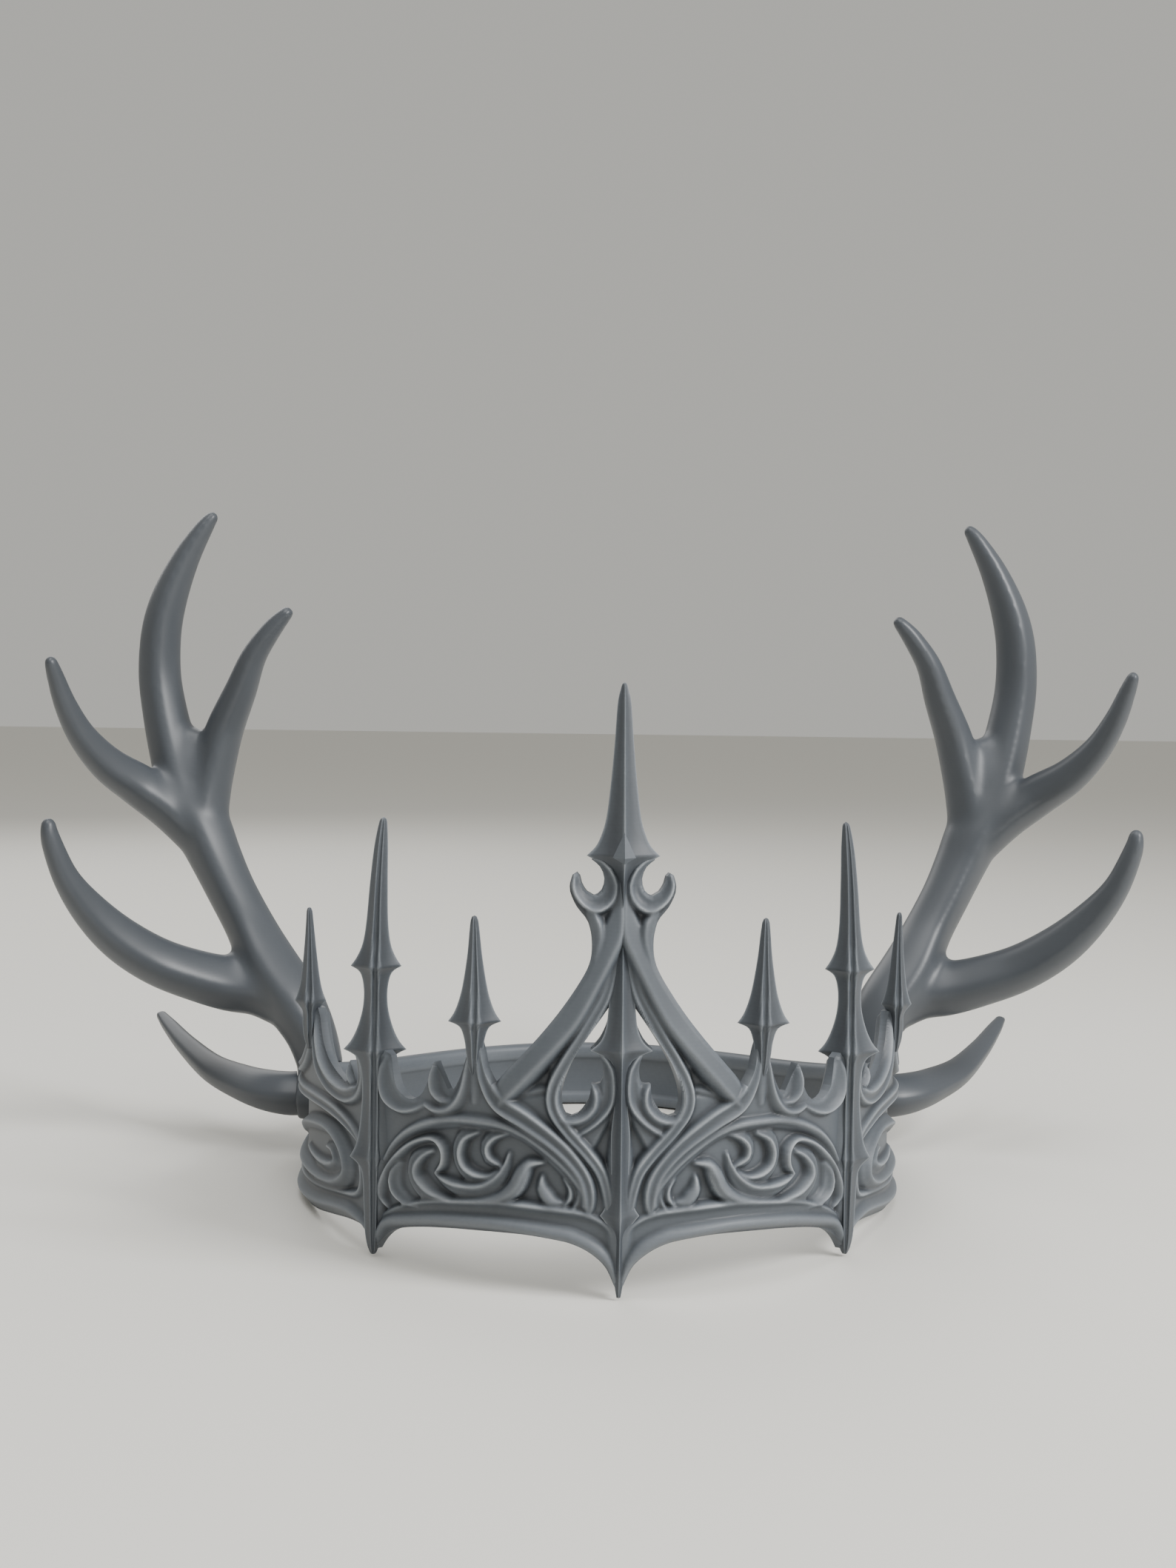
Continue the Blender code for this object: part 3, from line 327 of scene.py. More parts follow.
SHORT_SPIRE = (
    (52.6, 0.7, 0.5, 1), (55.4, 1.6, 1.5, 0), (58.4, 2.1, 2.2, 0), (61.4, 2.5, 2.7, 0),
    (64.6, 3.7, 3.3, 0), (66.0, 6.6, 4.4, 1), (68.0, 5.2, 3.9, 0), (71.0, 4.0, 3.3, 0),
    (75.0, 3.0, 2.8, 0), (82.0, 1.9, 2.0, 0), (88.0, 1.3, 1.3, 0), (91.0, 0.95, 0.95, 0),
    (91.9, 0.6, 0.6, 0), (92.2, 0.0, 0.0, 1))
TALL_SPIRE = (
    (0.2, 0.6, 0.6, 1), (1.8, 1.4, 1.6, 0), (6.0, 2.2, 2.3, 0), (14.0, 2.6, 2.5, 0), (22.4, 3.3, 3.0, 0),
    (26.0, 6.3, 4.0, 1), (30.0, 4.5, 3.4, 0), (38.0, 3.4, 3.0, 0), (46.0, 3.3, 3.2, 0),
    (51.8, 4.6, 4.1, 0), (54.2, 8.2, 5.2, 1), (56.4, 6.3, 4.6, 0), (60.0, 4.6, 3.9, 0),
    (65.0, 3.3, 3.4, 0), (70.0, 3.1, 3.4, 0), (74.2, 4.1, 4.0, 0), (76.0, 6.6, 5.4, 1),
    (78.4, 5.0, 4.6, 0), (82.0, 3.6, 3.8, 0), (88.0, 2.8, 3.2, 0), (98.0, 2.3, 2.6, 0),
    (107.0, 1.8, 1.9, 0), (112.4, 1.2, 1.2, 0), (114.2, 0.8, 0.8, 0), (114.8, 0.0, 0.0, 1))
OUTER_SPIRE = (
    (46.6, 0.8, 0.6, 1), (50.0, 1.8, 1.6, 0), (53.6, 2.2, 2.3, 0), (57.4, 2.3, 2.8, 0),
    (60.3, 4.4, 4.0, 1), (63.0, 3.4, 3.2, 0), (67.0, 2.6, 2.7, 0), (74.0, 1.8, 1.9, 0),
    (82.0, 1.1, 1.1, 0), (85.6, 0.8, 0.8, 0), (86.4, 0.5, 0.5, 0), (86.6, 0.0, 0.0, 1))

# The raised facet on the middle barb. Columns: s, z, depth
FACET = (
    (0.0, 113.8, 3.4), (-2.7, 107.7, 3.0), (2.7, 107.7, 3.0), (0.0, 106.2, 3.9), (0.0, 107.7, 5.6),
    (0.0, 108.0, 0.0))

# How the spires are made: the star section, the flute down the front ridge, the tip's curl, and the painted
# shading of ridges, valleys and flanks by their place across, from 0 at the front ridge to 1 at the side
# edge: painted highlights on the ridges, painted shade in the valleys and on the flanks.
# Under the free height no spire's back goes deeper than its back depth
SPIRE_STEP = 0.9
SPIRE_AROUND = 56
TIP_CURL = 6
STAR_POWER = 0.78
FLUTE_HALF_WIDTH = 0.95
FLUTE_SHARE = 0.32
FLUTE_HOLLOW = 0.27
RIDGE_HIGHLIGHT = 0.85
VALLEY_SHADE = 0.3
FLANK_SHADE = 0.45
VALLEY_PLACE = 0.45
RIDGE_SPREAD = 0.1
EDGE_SPREAD = 0.12
SPIRE_FREE = 60.0
SPIRE_BACK = -5.2

# Where the spires stand. Columns: s, depth, the tip's curl inwards and backwards, the spire's rows
MIDDLE_COLUMNS = {"middle_blade": MIDDLE_BLADE, "middle_spire": MIDDLE_SPIRE}
MIDDLE_DEPTH = -0.5
SPIRES = {
    "short_spire": (38.2, -0.7, -0.4, 1.4, SHORT_SPIRE),
    "tall_spire": (74.6, -0.4, 1.7, 1.6, TALL_SPIRE),
    "outer_spire": (118.6, 0.7, -0.6, 0.6, OUTER_SPIRE),
}

# Antler and brow tine, right side, in the ring's frame. Columns: x, y, z, radius
ANTLER_BEAM = (
    (86.0, 40.0, 11.0, 6.4), (87.6, 40.0, 24.0, 7.2), (91.0, 40.5, 36.0, 8.2), (96.8, 43.0, 46.0, 9.5),
    (106.0, 48.5, 58.0, 9.5), (113.0, 54.0, 69.8, 8.2), (120.0, 58.0, 81.6, 8.1),
    (125.6, 61.5, 92.0, 8.7), (130.6, 64.0, 102.0, 9.6), (136.0, 66.0, 112.0, 9.2),
    (141.0, 69.0, 127.0, 8.2), (144.4, 71.0, 140.5, 7.5), (146.3, 72.0, 153.0, 7.1),
    (145.8, 72.0, 167.0, 6.7), (143.0, 72.0, 179.0, 6.0), (137.6, 72.0, 192.0, 4.6),
    (131.4, 72.0, 202.6, 3.1), (129.0, 72.0, 205.7, 2.3))
INNER_TINE = (
    (130.2, 64.2, 104.0, 8.2), (128.8, 65.6, 114.0, 7.6), (126.4, 66.0, 124.0, 6.9),
    (123.4, 66.0, 135.0, 6.4), (117.8, 63.0, 147.8, 5.4), (113.0, 60.0, 159.2, 4.3),
    (106.6, 58.0, 168.4, 3.4), (102.0, 57.0, 173.3, 2.4))
FORK_WEB = ((134.4, 66.0, 113.0, 7.4), (134.2, 68.0, 123.0, 6.8), (134.2, 68.6, 130.4, 4.8))
OUTER_TINE_HIGH = (
    (130.5, 62.5, 98.0, 7.4), (140.0, 61.0, 108.0, 7.8), (150.0, 57.0, 115.8, 7.2),
    (158.2, 48.5, 122.9, 6.0), (164.4, 40.0, 132.0, 4.7), (168.2, 33.5, 142.0, 3.7),
    (170.4, 29.0, 151.4, 2.8), (171.2, 26.8, 155.6, 2.2))
OUTER_TINE_LOW = (
    (99.0, 44.5, 45.5, 8.2), (109.0, 47.5, 50.4, 9.2), (118.0, 46.0, 52.0, 9.1), (127.0, 42.0, 54.8, 8.4),
    (139.0, 36.0, 60.2, 7.8), (149.4, 29.0, 68.2, 7.1), (157.5, 22.0, 78.0, 5.8),
    (163.4, 15.0, 89.0, 4.2), (167.1, 11.0, 101.0, 3.2), (167.7, 10.2, 106.0, 2.4))
BROW_SEAM = 95.0
BROW_ROOT = ((84.0, 37.6, 17.8, 7.6), (89.0, 38.0, 17.8, 8.4), (BROW_SEAM, 38.0, 17.8, 8.3))
BROW_TINE = (
    (BROW_SEAM + PIECE_GAP, 38.0, 17.8, 7.1), (98.6, 38.0, 17.8, 7.0), (105.5, 41.2, 18.1, 6.6),
    (114.0, 48.5, 18.8, 5.9), (125.5, 59.0, 21.2, 4.8), (136.6, 73.0, 26.0, 3.6),
    (145.0, 85.5, 30.6, 2.6), (148.8, 91.0, 33.1, 1.8))

# How the tines are made: steps along and round, the keel at the front, and the soft webs in the forks
ANTLER_STEP = 1.6
ANTLER_AROUND = 28
BROW_STEP = 1.2
BROW_AROUND = 36
TIP_STEPS = 6
KEEL = 0.22
KEEL_SHARPNESS = 7
ANTLER_VOXEL = 0.62
FORK_ROUNDS = 70
NORMALS_EVERY = 5
HOLLOW_PULL = 0.9
RIDGE_PULL = 0.12

# The seat that the ring cuts in an antler, along s, and its section's reach
SEAT_START = 120.0
SEAT_END = 250.0
SEAT_STEPS = 60
SEAT_INNER = -40.0
SEAT_FOOT = -4.0
RING_FACE = 0.1

# Edges that turn by more than this many degrees stay sharp
SHARP_ANGLE = 50.0
BROW_SHARP_ANGLE = 60.0

# The camera at the photo's angle, in the ring's frame, in millimetres and degrees
CAMERA_PLACE = (-28.3, -535.2, 144.9)
CAMERA_PAN = 2.57
CAMERA_TILT = -2.59
CAMERA_ROLL = -0.79
LENS = 40.81
SENSOR_WIDTH = 36.0
CLIP_START = 0.01

# The studio, in metres
FLOOR_HALF_SIZE = 8.0
FLOOR_DROP = 0.0005
FLOOR_COLOUR = (0.74, 0.725, 0.68, 1.0)
FLOOR_ROUGHNESS = 0.7
WORLD_COLOUR = (0.86, 0.85, 0.80, 1.0)
WORLD_STRENGTH = 0.58

# Lamps. Columns: place, what each points at, size, power
LAMPS = {
    "window": ((0.85, -0.55, 0.75), (0.0, -0.04, 0.07), 0.45, 15.5),
    "ceiling": ((-0.1, -0.35, 1.25), (0.0, 0.0, 0.05), 0.9, 9.0),
    "wall": ((-0.5, 0.95, 0.9), (0.0, 0.0, 0.10), 1.0, 7.0),
}

# Tones of the plastic, from the painted shade in its hollows to the painted highlights on its crests, with
# its mottling
# in between: place on the ramp, linear colour. The horn's ramp carries only its mottling, grain and layer
# lines
CAST_TONES = (
    (0.0, (0.018, 0.021, 0.026)), (0.3, (0.054, 0.062, 0.073)), (0.5, (0.088, 0.101, 0.117)),
    (0.72, (0.145, 0.162, 0.182)), (1.0, (0.33, 0.355, 0.38)))
HORN_TONES = (
    (0.0, (0.032, 0.037, 0.045)), (0.5, (0.061, 0.069, 0.080)), (1.0, (0.105, 0.116, 0.130)))

# The plastic's mottling, grain and layer lines: their scales, their shares of its tone, and then its
# roughness and its bump
MOTTLE_SCALE = 28.0
GRAIN_SCALE = 900.0
LAYER_SCALE = 340.0
LAYER_WAVER = 0.6
BASE_TONE = 0.33
MOTTLE_TONE = 0.22
GRAIN_TONE = 0.08
LAYER_TONE = 0.012
# The share of the painted shading in the tone: painted highlights on crests, painted shade in hollows and
# valleys
PAINTED_SHADING_TONE = 1.1
CAST_ROUGHNESS = 0.50
HORN_ROUGHNESS = 0.40
ROUGHNESS_SPREAD = 0.16
LAYER_BUMP = 0.5
GRAIN_BUMP = 0.5
BUMP_STRENGTH = 0.02
BUMP_DISTANCE = 0.0002


class Tap:
    """A node's output, which can be used in sums."""

    def __init__(self, finish, socket):
        self.finish = finish
        self.socket = socket

    def _sum(self, operation, *terms):
        return self.finish.add("ShaderNodeMath", {"operation": operation}, dict(enumerate(terms)))

    def __add__(self, other):
        return self._sum("ADD", self, other)

    def __radd__(self, other):
        return self._sum("ADD", other, self)

    def __sub__(self, other):
        return self._sum("SUBTRACT", self, other)

    def __rsub__(self, other):
        return self._sum("SUBTRACT", other, self)

    def __mul__(self, other):
        return self._sum("MULTIPLY", self, other)

    def __rmul__(self, other):
        return self._sum("MULTIPLY", other, self)


class Finish:
    """A node material that is built up from a Principled shader."""

    def __init__(self, name, roughness):
        self.material = bpy.data.materials.new(name)
        self.material.use_nodes = True
        self.tree = self.material.node_tree
        self.shader = self.tree.nodes["Principled BSDF"]
        self.shader.inputs["Roughness"].default_value = roughness

    def add(self, kind, settings=None, values=None, output=0):
        node = self.tree.nodes.new(kind)
        for key, setting in (settings or {}).items():
            if key == "stops":
                self._stops(node.color_ramp, setting)
            else:
                setattr(node, key, setting)
        for key, value in (values or {}).items():
            self.feed(node.inputs[key], value)
        return Tap(self, node.outputs[output])

    def _stops(self, ramp, stops):
        while len(ramp.elements) < len(stops):
            ramp.elements.new(0.5)
        for element, (place, colour) in zip(ramp.elements, stops):
            element.position = place
            element.color = (*colour, 1.0)

    def feed(self, socket, value):
        if isinstance(value, Tap):
            self.tree.links.new(value.socket, socket)
        else:
            socket.default_value = value

    def set(self, name, value):
        self.feed(self.shader.inputs[name], value)


def printed_plastic(name, roughness, with_painted_shading):
    """Matt printed plastic: soft mottling, faint layer lines and fine grain, and on carved pieces painted
    highlights on the crests and painted shade in the hollows.
    """
    finish = Finish(name, roughness)
    place = finish.add("ShaderNodeTexCoord", output=3)
    cloud = finish.add("ShaderNodeTexNoise", {}, {"Vector": place, "Scale": MOTTLE_SCALE, "Detail": 5.0})
    grain = finish.add("ShaderNodeTexNoise", {}, {"Vector": place, "Scale": GRAIN_SCALE, "Detail": 3.0})
    waves = {"Vector": place, "Scale": LAYER_SCALE, "Distortion": LAYER_WAVER, "Detail": 1.0}
    layers = finish.add("ShaderNodeTexWave", {"bands_direction": "Z"}, waves)
    tone = cloud * MOTTLE_TONE + grain * GRAIN_TONE + layers * LAYER_TONE + BASE_TONE
    if with_painted_shading:
        # Painted highlights on the crests and painted shade in the hollows and valleys, read from the
        # points
        crest = finish.add("ShaderNodeAttribute", {"attribute_name": "crest"}, output=2)
        tone = tone + (crest - MIDDLE_TONE) * PAINTED_SHADING_TONE
    stops = CAST_TONES if with_painted_shading else HORN_TONES
    finish.set("Base Color", finish.add("ShaderNodeValToRGB", {"stops": stops}, {0: tone}))
    finish.set("Roughness", roughness + (cloud - 0.5) * ROUGHNESS_SPREAD)
    height = layers * LAYER_BUMP + grain * GRAIN_BUMP
    relief = {"Strength": BUMP_STRENGTH, "Distance": BUMP_DISTANCE, "Height": height}
    finish.set("Normal", finish.add("ShaderNodeBump", {}, relief))
    return finish.material


def ring_table():
    """Arc length from the front, against the angle round the oval."""
    angle = np.linspace(0.0, math.pi, RING_POINTS)
    x = RING_HALF_WIDTH * np.sin(angle)
    y = -RING_HALF_DEPTH * np.cos(angle)
    arc = np.concatenate(([0.0], np.cumsum(np.hypot(np.diff(x), np.diff(y)))))
    return arc, angle


ARC, ANGLE = ring_table()
RING_HALF_LENGTH = float(ARC[-1])


def ease(value, start, end):
    """From 0 at the start to 1 at the end, without a kink at either."""
    t = np.clip((value - start) / (end - start), 0.0, 1.0)
    return t * t * (3.0 - 2.0 * t)


def on_ring(s, z, depth):
    """Flat wall coordinates in millimetres, as numbers or arrays, to points in metres."""
    s, z, depth = np.broadcast_arrays(np.asarray(s, float), z, depth)
    along = np.abs(s)
    angle = np.interp(along, ARC, ANGLE)
    normal = np.stack([np.sin(angle) / RING_HALF_WIDTH, -np.cos(angle) / RING_HALF_DEPTH])
    normal = normal / np.hypot(*normal)
    fade = 1.0 - ease(along, SWELL_FADE_START, SWELL_FADE_END)
    out = depth + SIDE_SWELL * ease(along, SWELL_START, SWELL_END) * fade
    lean = LEAN_AT_TOP * (np.maximum(z, 0.0) / TOP_HEIGHT) ** 2 * (1.0 - ease(along, 0.0, LEAN_HALF_SPAN))
    x = np.where(s < 0.0, -1.0, 1.0) * (RING_HALF_WIDTH * np.sin(angle) + normal[0] * out)
    y = -RING_HALF_DEPTH * np.cos(angle) + normal[1] * out + lean
    return np.stack([x, y + RING_Y, z + RING_Z], axis=-1) * MM


def in_ring_frame(x, y, z):
    """Millimetres from the middle of the ring's foot, to a point in metres."""
    return Vector((x, y + RING_Y, z + RING_Z)) * MM


def smooth_line(rows, step):
    """A smooth curve through the rows, as an array with a point about every step."""
    rows = np.array(rows, float)
    line = []
    for i in range(len(rows) - 1):
        a, b = rows[max(i - 1, 0)], rows[i]
        c, d = rows[i + 1], rows[min(i + 2, len(rows) - 1)]
        count = max(1, round(float(np.linalg.norm((c - b)[:3])) / step))
        t = np.arange(count)[:, None] / count
        line.append(0.5 * (2 * b + (c - a) * t + (2 * a - 5 * b + 4 * c - d) * t ** 2
                           + (3 * b - 3 * c + d - a) * t ** 3))
    return np.vstack(line + [rows[-1:]])


def cornered_line(rows, step):
    """The same, but sharp at the rows whose last column is 1."""
    rows = np.array(rows, float)
    corners = [i for i in range(len(rows)) if i in (0, len(rows) - 1) or rows[i, -1] == 1.0]
    runs = [smooth_line(rows[a:b + 1, :-1], step) for a, b in zip(corners, corners[1:])]
    return np.vstack([run[:-1] for run in runs] + [runs[-1][-1:]])


def nearest_on(line, s, z, seams=()):
    """Distance of points from a line, their side of it, and the line's other columns and place at the foot.

    Stretches whose ends both read exactly as a seam don't count. Rounding keeps part of the tall spire's
    seam in, so the wall has a small step there."""
    best = np.full(s.shape, np.inf)
    side = np.zeros(s.shape)
    rest = np.zeros(s.shape + (line.shape[1] - 2,))
    foot = np.zeros(s.shape + (2,))
    for a, b in zip(line, line[1:]):
        run = b[:2] - a[:2]
        length = float(run @ run)
        if length == 0.0 or (a[0] == b[0] and a[0] in seams):
            continue
        t = np.clip(((s - a[0]) * run[0] + (z - a[1]) * run[1]) / length, 0.0, 1.0)
        gap_s = s - a[0] - t * run[0]
        gap_z = z - a[1] - t * run[1]
        gap = np.hypot(gap_s, gap_z)
        closer = gap < best
        best = np.where(closer, gap, best)
        side = np.where(closer, np.sign(run[0] * gap_z - run[1] * gap_s), side)
        rest = np.where(closer[..., None], a[2:] + t[..., None] * (b[2:] - a[2:]), rest)
        foot = np.where(closer[..., None], np.stack([s - gap_s, z - gap_z], -1), foot)
    return best, side, rest, foot


def inside(loop, s, z):
    """True for the points that a closed loop encloses."""
    odd = np.zeros(s.shape, bool)
    for (s0, z0), (s1, z1) in zip(loop[:, :2], loop[1:, :2]):
        if z0 == z1:
            continue
        crosses = (z0 > z) != (z1 > z)
        odd ^= crosses & (s < s0 + (z - z0) * (s1 - s0) / (z1 - z0))
    return odd


def window(line, margin, s_axis, z_axis):
    """The part of the map that a line and its margin can reach."""
    low = line[:, :2].min(axis=0) - margin
    high = line[:, :2].max(axis=0) + margin
    columns = slice(*np.searchsorted(s_axis, (low[0], high[0])))
    rows = slice(*np.searchsorted(z_axis, (low[1], high[1])))
    return rows, columns


def blurred(values, times):
    """A soft copy of the map."""
    for _ in range(times):
        values = np.pad(values, 1, mode="edge")
        values = (values[:-2] + 2.0 * values[1:-1] + values[2:]) / 4.0
        values = (values[:, :-2] + 2.0 * values[:, 1:-1] + values[:, 2:]) / 4.0
    return values


class Relief:
    """The carved face of the right half of the wall, as maps of its depth and of its painted shading:
    painted highlights on its crests and painted shade in its hollows.
    """

    def __init__(self):
        self.s_axis = np.arange(*MAP_ALONG, MAP_STEP)
        self.z_axis = np.arange(*MAP_UP, MAP_STEP)
        self.s, self.z = np.meshgrid(self.s_axis, self.z_axis)
        self.depth = np.full(self.s.shape, FIELD_DEPTH)
        for rows in SUNK_PANELS.values():
            self.sink(cornered_line(rows, LINE_STEP))
        for cut, root, height, rows in CARVING.values():
            self.carve(CUTS[cut], root, height, smooth_line(rows, LINE_STEP))
        self.depth = blurred(self.depth, SOFTEN)
        # Painted shading: painted highlights along the fine edges and painted shade in the creases and wide
        # hollows
        edges = self.depth - blurred(self.depth, EDGE_BLUR)
        hollows = self.depth - blurred(self.depth, HOLLOW_BLUR)
        self.crest = np.clip(MIDDLE_TONE + edges * EDGE_LIGHT_AND_SHADE + hollows * HOLLOW_SHADE, 0.0, 1.0)

    def sink(self, loop):
        """Lowers the field to the panels' depth inside a loop."""
        where = window(loop, MAP_MARGIN, self.s_axis, self.z_axis)
        s, z = self.s[where], self.z[where]
        distance = nearest_on(loop, s, z)[0]
        share = np.where(inside(loop, s, z), ease(distance, 0.0, PANEL_SLOPE), 0.0)
        self.depth[where] = np.minimum(self.depth[where], FIELD_DEPTH + (PANEL_DEPTH - FIELD_DEPTH) * share)

    def carve(self, cut, root, height, line):
        """Raises one stroke of the carving along a line, with its section across it."""
        widest = line[:, 2].max()
        where = window(line, widest, self.s_axis, self.z_axis)
        distance, side, rest, _ = nearest_on(line, self.s[where], self.z[where])
        width = np.maximum(rest[..., 0], LEAST_HALF_WIDTH)
        place = side * distance / width
        fullness = np.minimum(1.0, width / widest) ** TAPER_POWER
        tall = height * (LEAST_SHARE + (1.0 - LEAST_SHARE) * fullness)
        across, heights = np.array(cut).T
        share = np.interp(place, across, heights)
        raised = np.maximum(self.depth[where], root + tall * share)
        self.depth[where] = np.where((distance < width) & (share > 0.0), raised, self.depth[where])

    def read(self, values, s, z):
        """The map's values at any places, blended between its points."""
        column = np.clip((s - self.s_axis[0]) / MAP_STEP, 0.0, len(self.s_axis) - LAST_CELL)
        row = np.clip((z - self.z_axis[0]) / MAP_STEP, 0.0, len(self.z_axis) - LAST_CELL)
        i, j = row.astype(int), column.astype(int)
        u, v = row - i, column - j
        top = values[i, j] * (1 - v) + values[i, j + 1] * v
        low = values[i + 1, j] * (1 - v) + values[i + 1, j + 1] * v
        return top * (1 - u) + low * u


def positions(mesh):
    flat = np.zeros(len(mesh.vertices) * 3, np.float32)
    mesh.vertices.foreach_get("co", flat)
    return flat.reshape(-1, 3).astype(float)


def put_positions(mesh, points):
    mesh.vertices.foreach_set("co", np.asarray(points, np.float32).ravel())
    mesh.update()


def mesh_of(name, bm):
    """The shape as a mesh of its own. The bmesh is used up."""
    mesh = bpy.data.meshes.new(name)
    bm.to_mesh(mesh)
    bm.free()
    return mesh


def linked(name, data):
    """An object in the scene for a mesh, a lamp or a camera."""
    body = bpy.data.objects.new(name, data)
    bpy.context.scene.collection.objects.link(body)
    return body


def shown(name, mesh, material, slot, *stands_for):
    """Puts a finished piece on the crown, with its material. It may stand for CAD nodes."""
    piece = linked(name, mesh)
    mesh.materials.clear()
    mesh.materials.append(material)
    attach(piece, "root")
    if stands_for:
        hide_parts(*stands_for)


def trimmed_sheet(loops):
    """A fine flat sheet, cut to the outer loop and its openings.

    Its rim is pulled on to the loops and their corners and loses its stair steps, and the squares near it
    are eased."""
    low, high = loops[0][:, 0].min(), loops[0][:, 0].max()
    bm = bmesh.new()
    across = round((high - low) / WALL_STEP)
    up = round(WALL_TOP / WALL_STEP)
    bmesh.ops.create_grid(bm, x_segments=across, y_segments=up, size=1.0)
    spot = np.array([vert.co[:2] for vert in bm.verts])
    s = low + (spot[:, 0] + 1.0) / 2.0 * (high - low)
    z = (spot[:, 1] + 1.0) / 2.0 * WALL_TOP
    keep = inside(loops[0], s, z)
    distance, foot = np.full(s.shape, np.inf), np.zeros(s.shape + (2,))
    for k, loop in enumerate(loops):
        if k:
            keep &= ~inside(loop, s, z)
        gap, _, _, nearest = nearest_on(loop, s, z)
        foot = np.where((gap < distance)[:, None], nearest, foot)
        distance = np.minimum(distance, gap)
    keep &= distance > RIM_CLEAR * WALL_STEP
    for vert, at_s, at_z in zip(bm.verts, s, z):
        vert.co = (at_s, at_z, 0.0)
    verts = list(bm.verts)
    reach = RIM_REACH * WALL_STEP
    rim_foot = {vert: nearest for vert, nearest, gap in zip(verts, foot, distance) if gap < reach}
    bmesh.ops.delete(bm, geom=[vert for vert, kept in zip(verts, keep) if not kept], context="VERTS")
    loose = [vert for vert in bm.verts if not vert.link_faces]
    bmesh.ops.delete(bm, geom=loose, context="VERTS")
    steps, stepped = [], set()
    for vert in bm.verts:
        if vert.is_boundary and vert in rim_foot:
            vert.co.x, vert.co.y = rim_foot[vert]
            if len(vert.link_edges) == 2 and vert.link_faces[0] not in stepped:
                stepped.add(vert.link_faces[0])
                steps.append(vert)
    bmesh.ops.dissolve_verts(bm, verts=steps)
    rim = [vert for vert in bm.verts if vert.is_boundary]
    for loop in loops:
        pull_to_corners(rim, loop)
    near_rim = set(rim)
    for _ in range(RIM_EASE):
        near_rim |= {edge.other_vert(vert) for vert in near_rim for edge in vert.link_edges}
    inner = [vert for vert in bm.verts if vert in near_rim and not vert.is_boundary]
    for _ in range(RIM_EASE_ROUNDS):
        bmesh.ops.smooth_vert(bm, verts=inner, factor=0.5, use_axis_x=True, use_axis_y=True)
    bmesh.ops.remove_doubles(bm, verts=bm.verts, dist=RIM_MERGE)
    bmesh.ops.dissolve_degenerate(bm, edges=bm.edges, dist=RIM_MERGE)
    return bm


def pull_to_corners(rim, loop):
    """Moves the nearest rim point on to each sharp corner of the loop."""
    free = list(rim)
    for a, b, c in zip(loop[-2:-1].tolist() + loop[:-1].tolist(), loop.tolist(), loop[1:].tolist()):
        first, second = Vector((b[0] - a[0], b[1] - a[1])), Vector((c[0] - b[0], c[1] - b[1]))
        if first.length and second.length and first.angle(second) > CORNER_TURN:
            corner = Vector((b[0], b[1], 0.0))
            nearest = min(free, key=lambda vert: (vert.co - corner).length)
            if (nearest.co - corner).length < CORNER_REACH * WALL_STEP:
                nearest.co = corner
                free.remove(nearest)


def flat_wall(name, loops):
    """A flat slab over the sheet. Its back half is marked, and the edges of its rim are kept sharp."""
    bm = trimmed_sheet(loops)
    back_layer = bm.verts.layers.int.new("back")
    for vert in bm.verts:
        vert[back_layer] = 1
    raised = bmesh.ops.extrude_face_region(bm, geom=list(bm.faces), use_keep_orig=True)["geom"]
    for vert in raised:
        if isinstance(vert, bmesh.types.BMVert):
            vert[back_layer] = 0
    for face in bm.faces:
        if len({vert[back_layer] for vert in face.verts}) == 2:
            for edge in face.edges:
                edge.smooth = edge.verts[0][back_layer] != edge.verts[1][back_layer]
    return mesh_of(name, bm)


def carved_walls(relief, material):
    """The carved wall: a front and a side part for each half, bent round the ring."""
    for part, outlines in WALL_PARTS.items():
        loops = [cornered_line(rows, LINE_STEP) for rows in outlines]
        flat = flat_wall(f"wall_{part}", loops)
        place = positions(flat)
        back = np.zeros(len(place), np.int32)
        flat.attributes["back"].data.foreach_get("value", back)
        flat.attributes.remove(flat.attributes["back"])
        s, z = place[:, 0], place[:, 1]
        rim = np.min([nearest_on(loop, s, z, (0.0, WALL_SEAM))[0] for loop in loops], axis=0)
        face = relief.read(relief.depth, s, z) - RIM_DROP * (1.0 - ease(rim, 0.0, RIM_ROUND))
        behind = WALL_BACK + BACK_DROP * (1.0 - ease(rim, 0.0, BACK_ROUND))
        depth = np.where(back == 1, behind, face)
        # Painted highlights and painted shade from the relief on the front, none on the back
        tone = np.where(back == 1, MIDDLE_TONE, relief.read(relief.crest, s, z))
        for word, side in SIDES:
            mesh = flat.copy()
            mesh.name = f"wall_{part}_{word}"
            put_positions(mesh, on_ring(side * np.maximum(s, MIDDLE_SLIVER), z, depth))
            paint_shading_on(mesh, tone)
            mend_normals(mesh)
            stands_for = ("front_crown",) if mesh.name == "wall_front_left" else ()
            shown(mesh.name, mesh, material, "cast_grey", *stands_for)
        bpy.data.meshes.remove(flat)


def mend_normals(mesh):
    """Turns the faces outwards, because one half of the wall mirrors the other."""
    bm = bmesh.new()
    bm.from_mesh(mesh)
    bmesh.ops.recalc_face_normals(bm, faces=bm.faces)
    bm.to_mesh(mesh)
    bm.free()


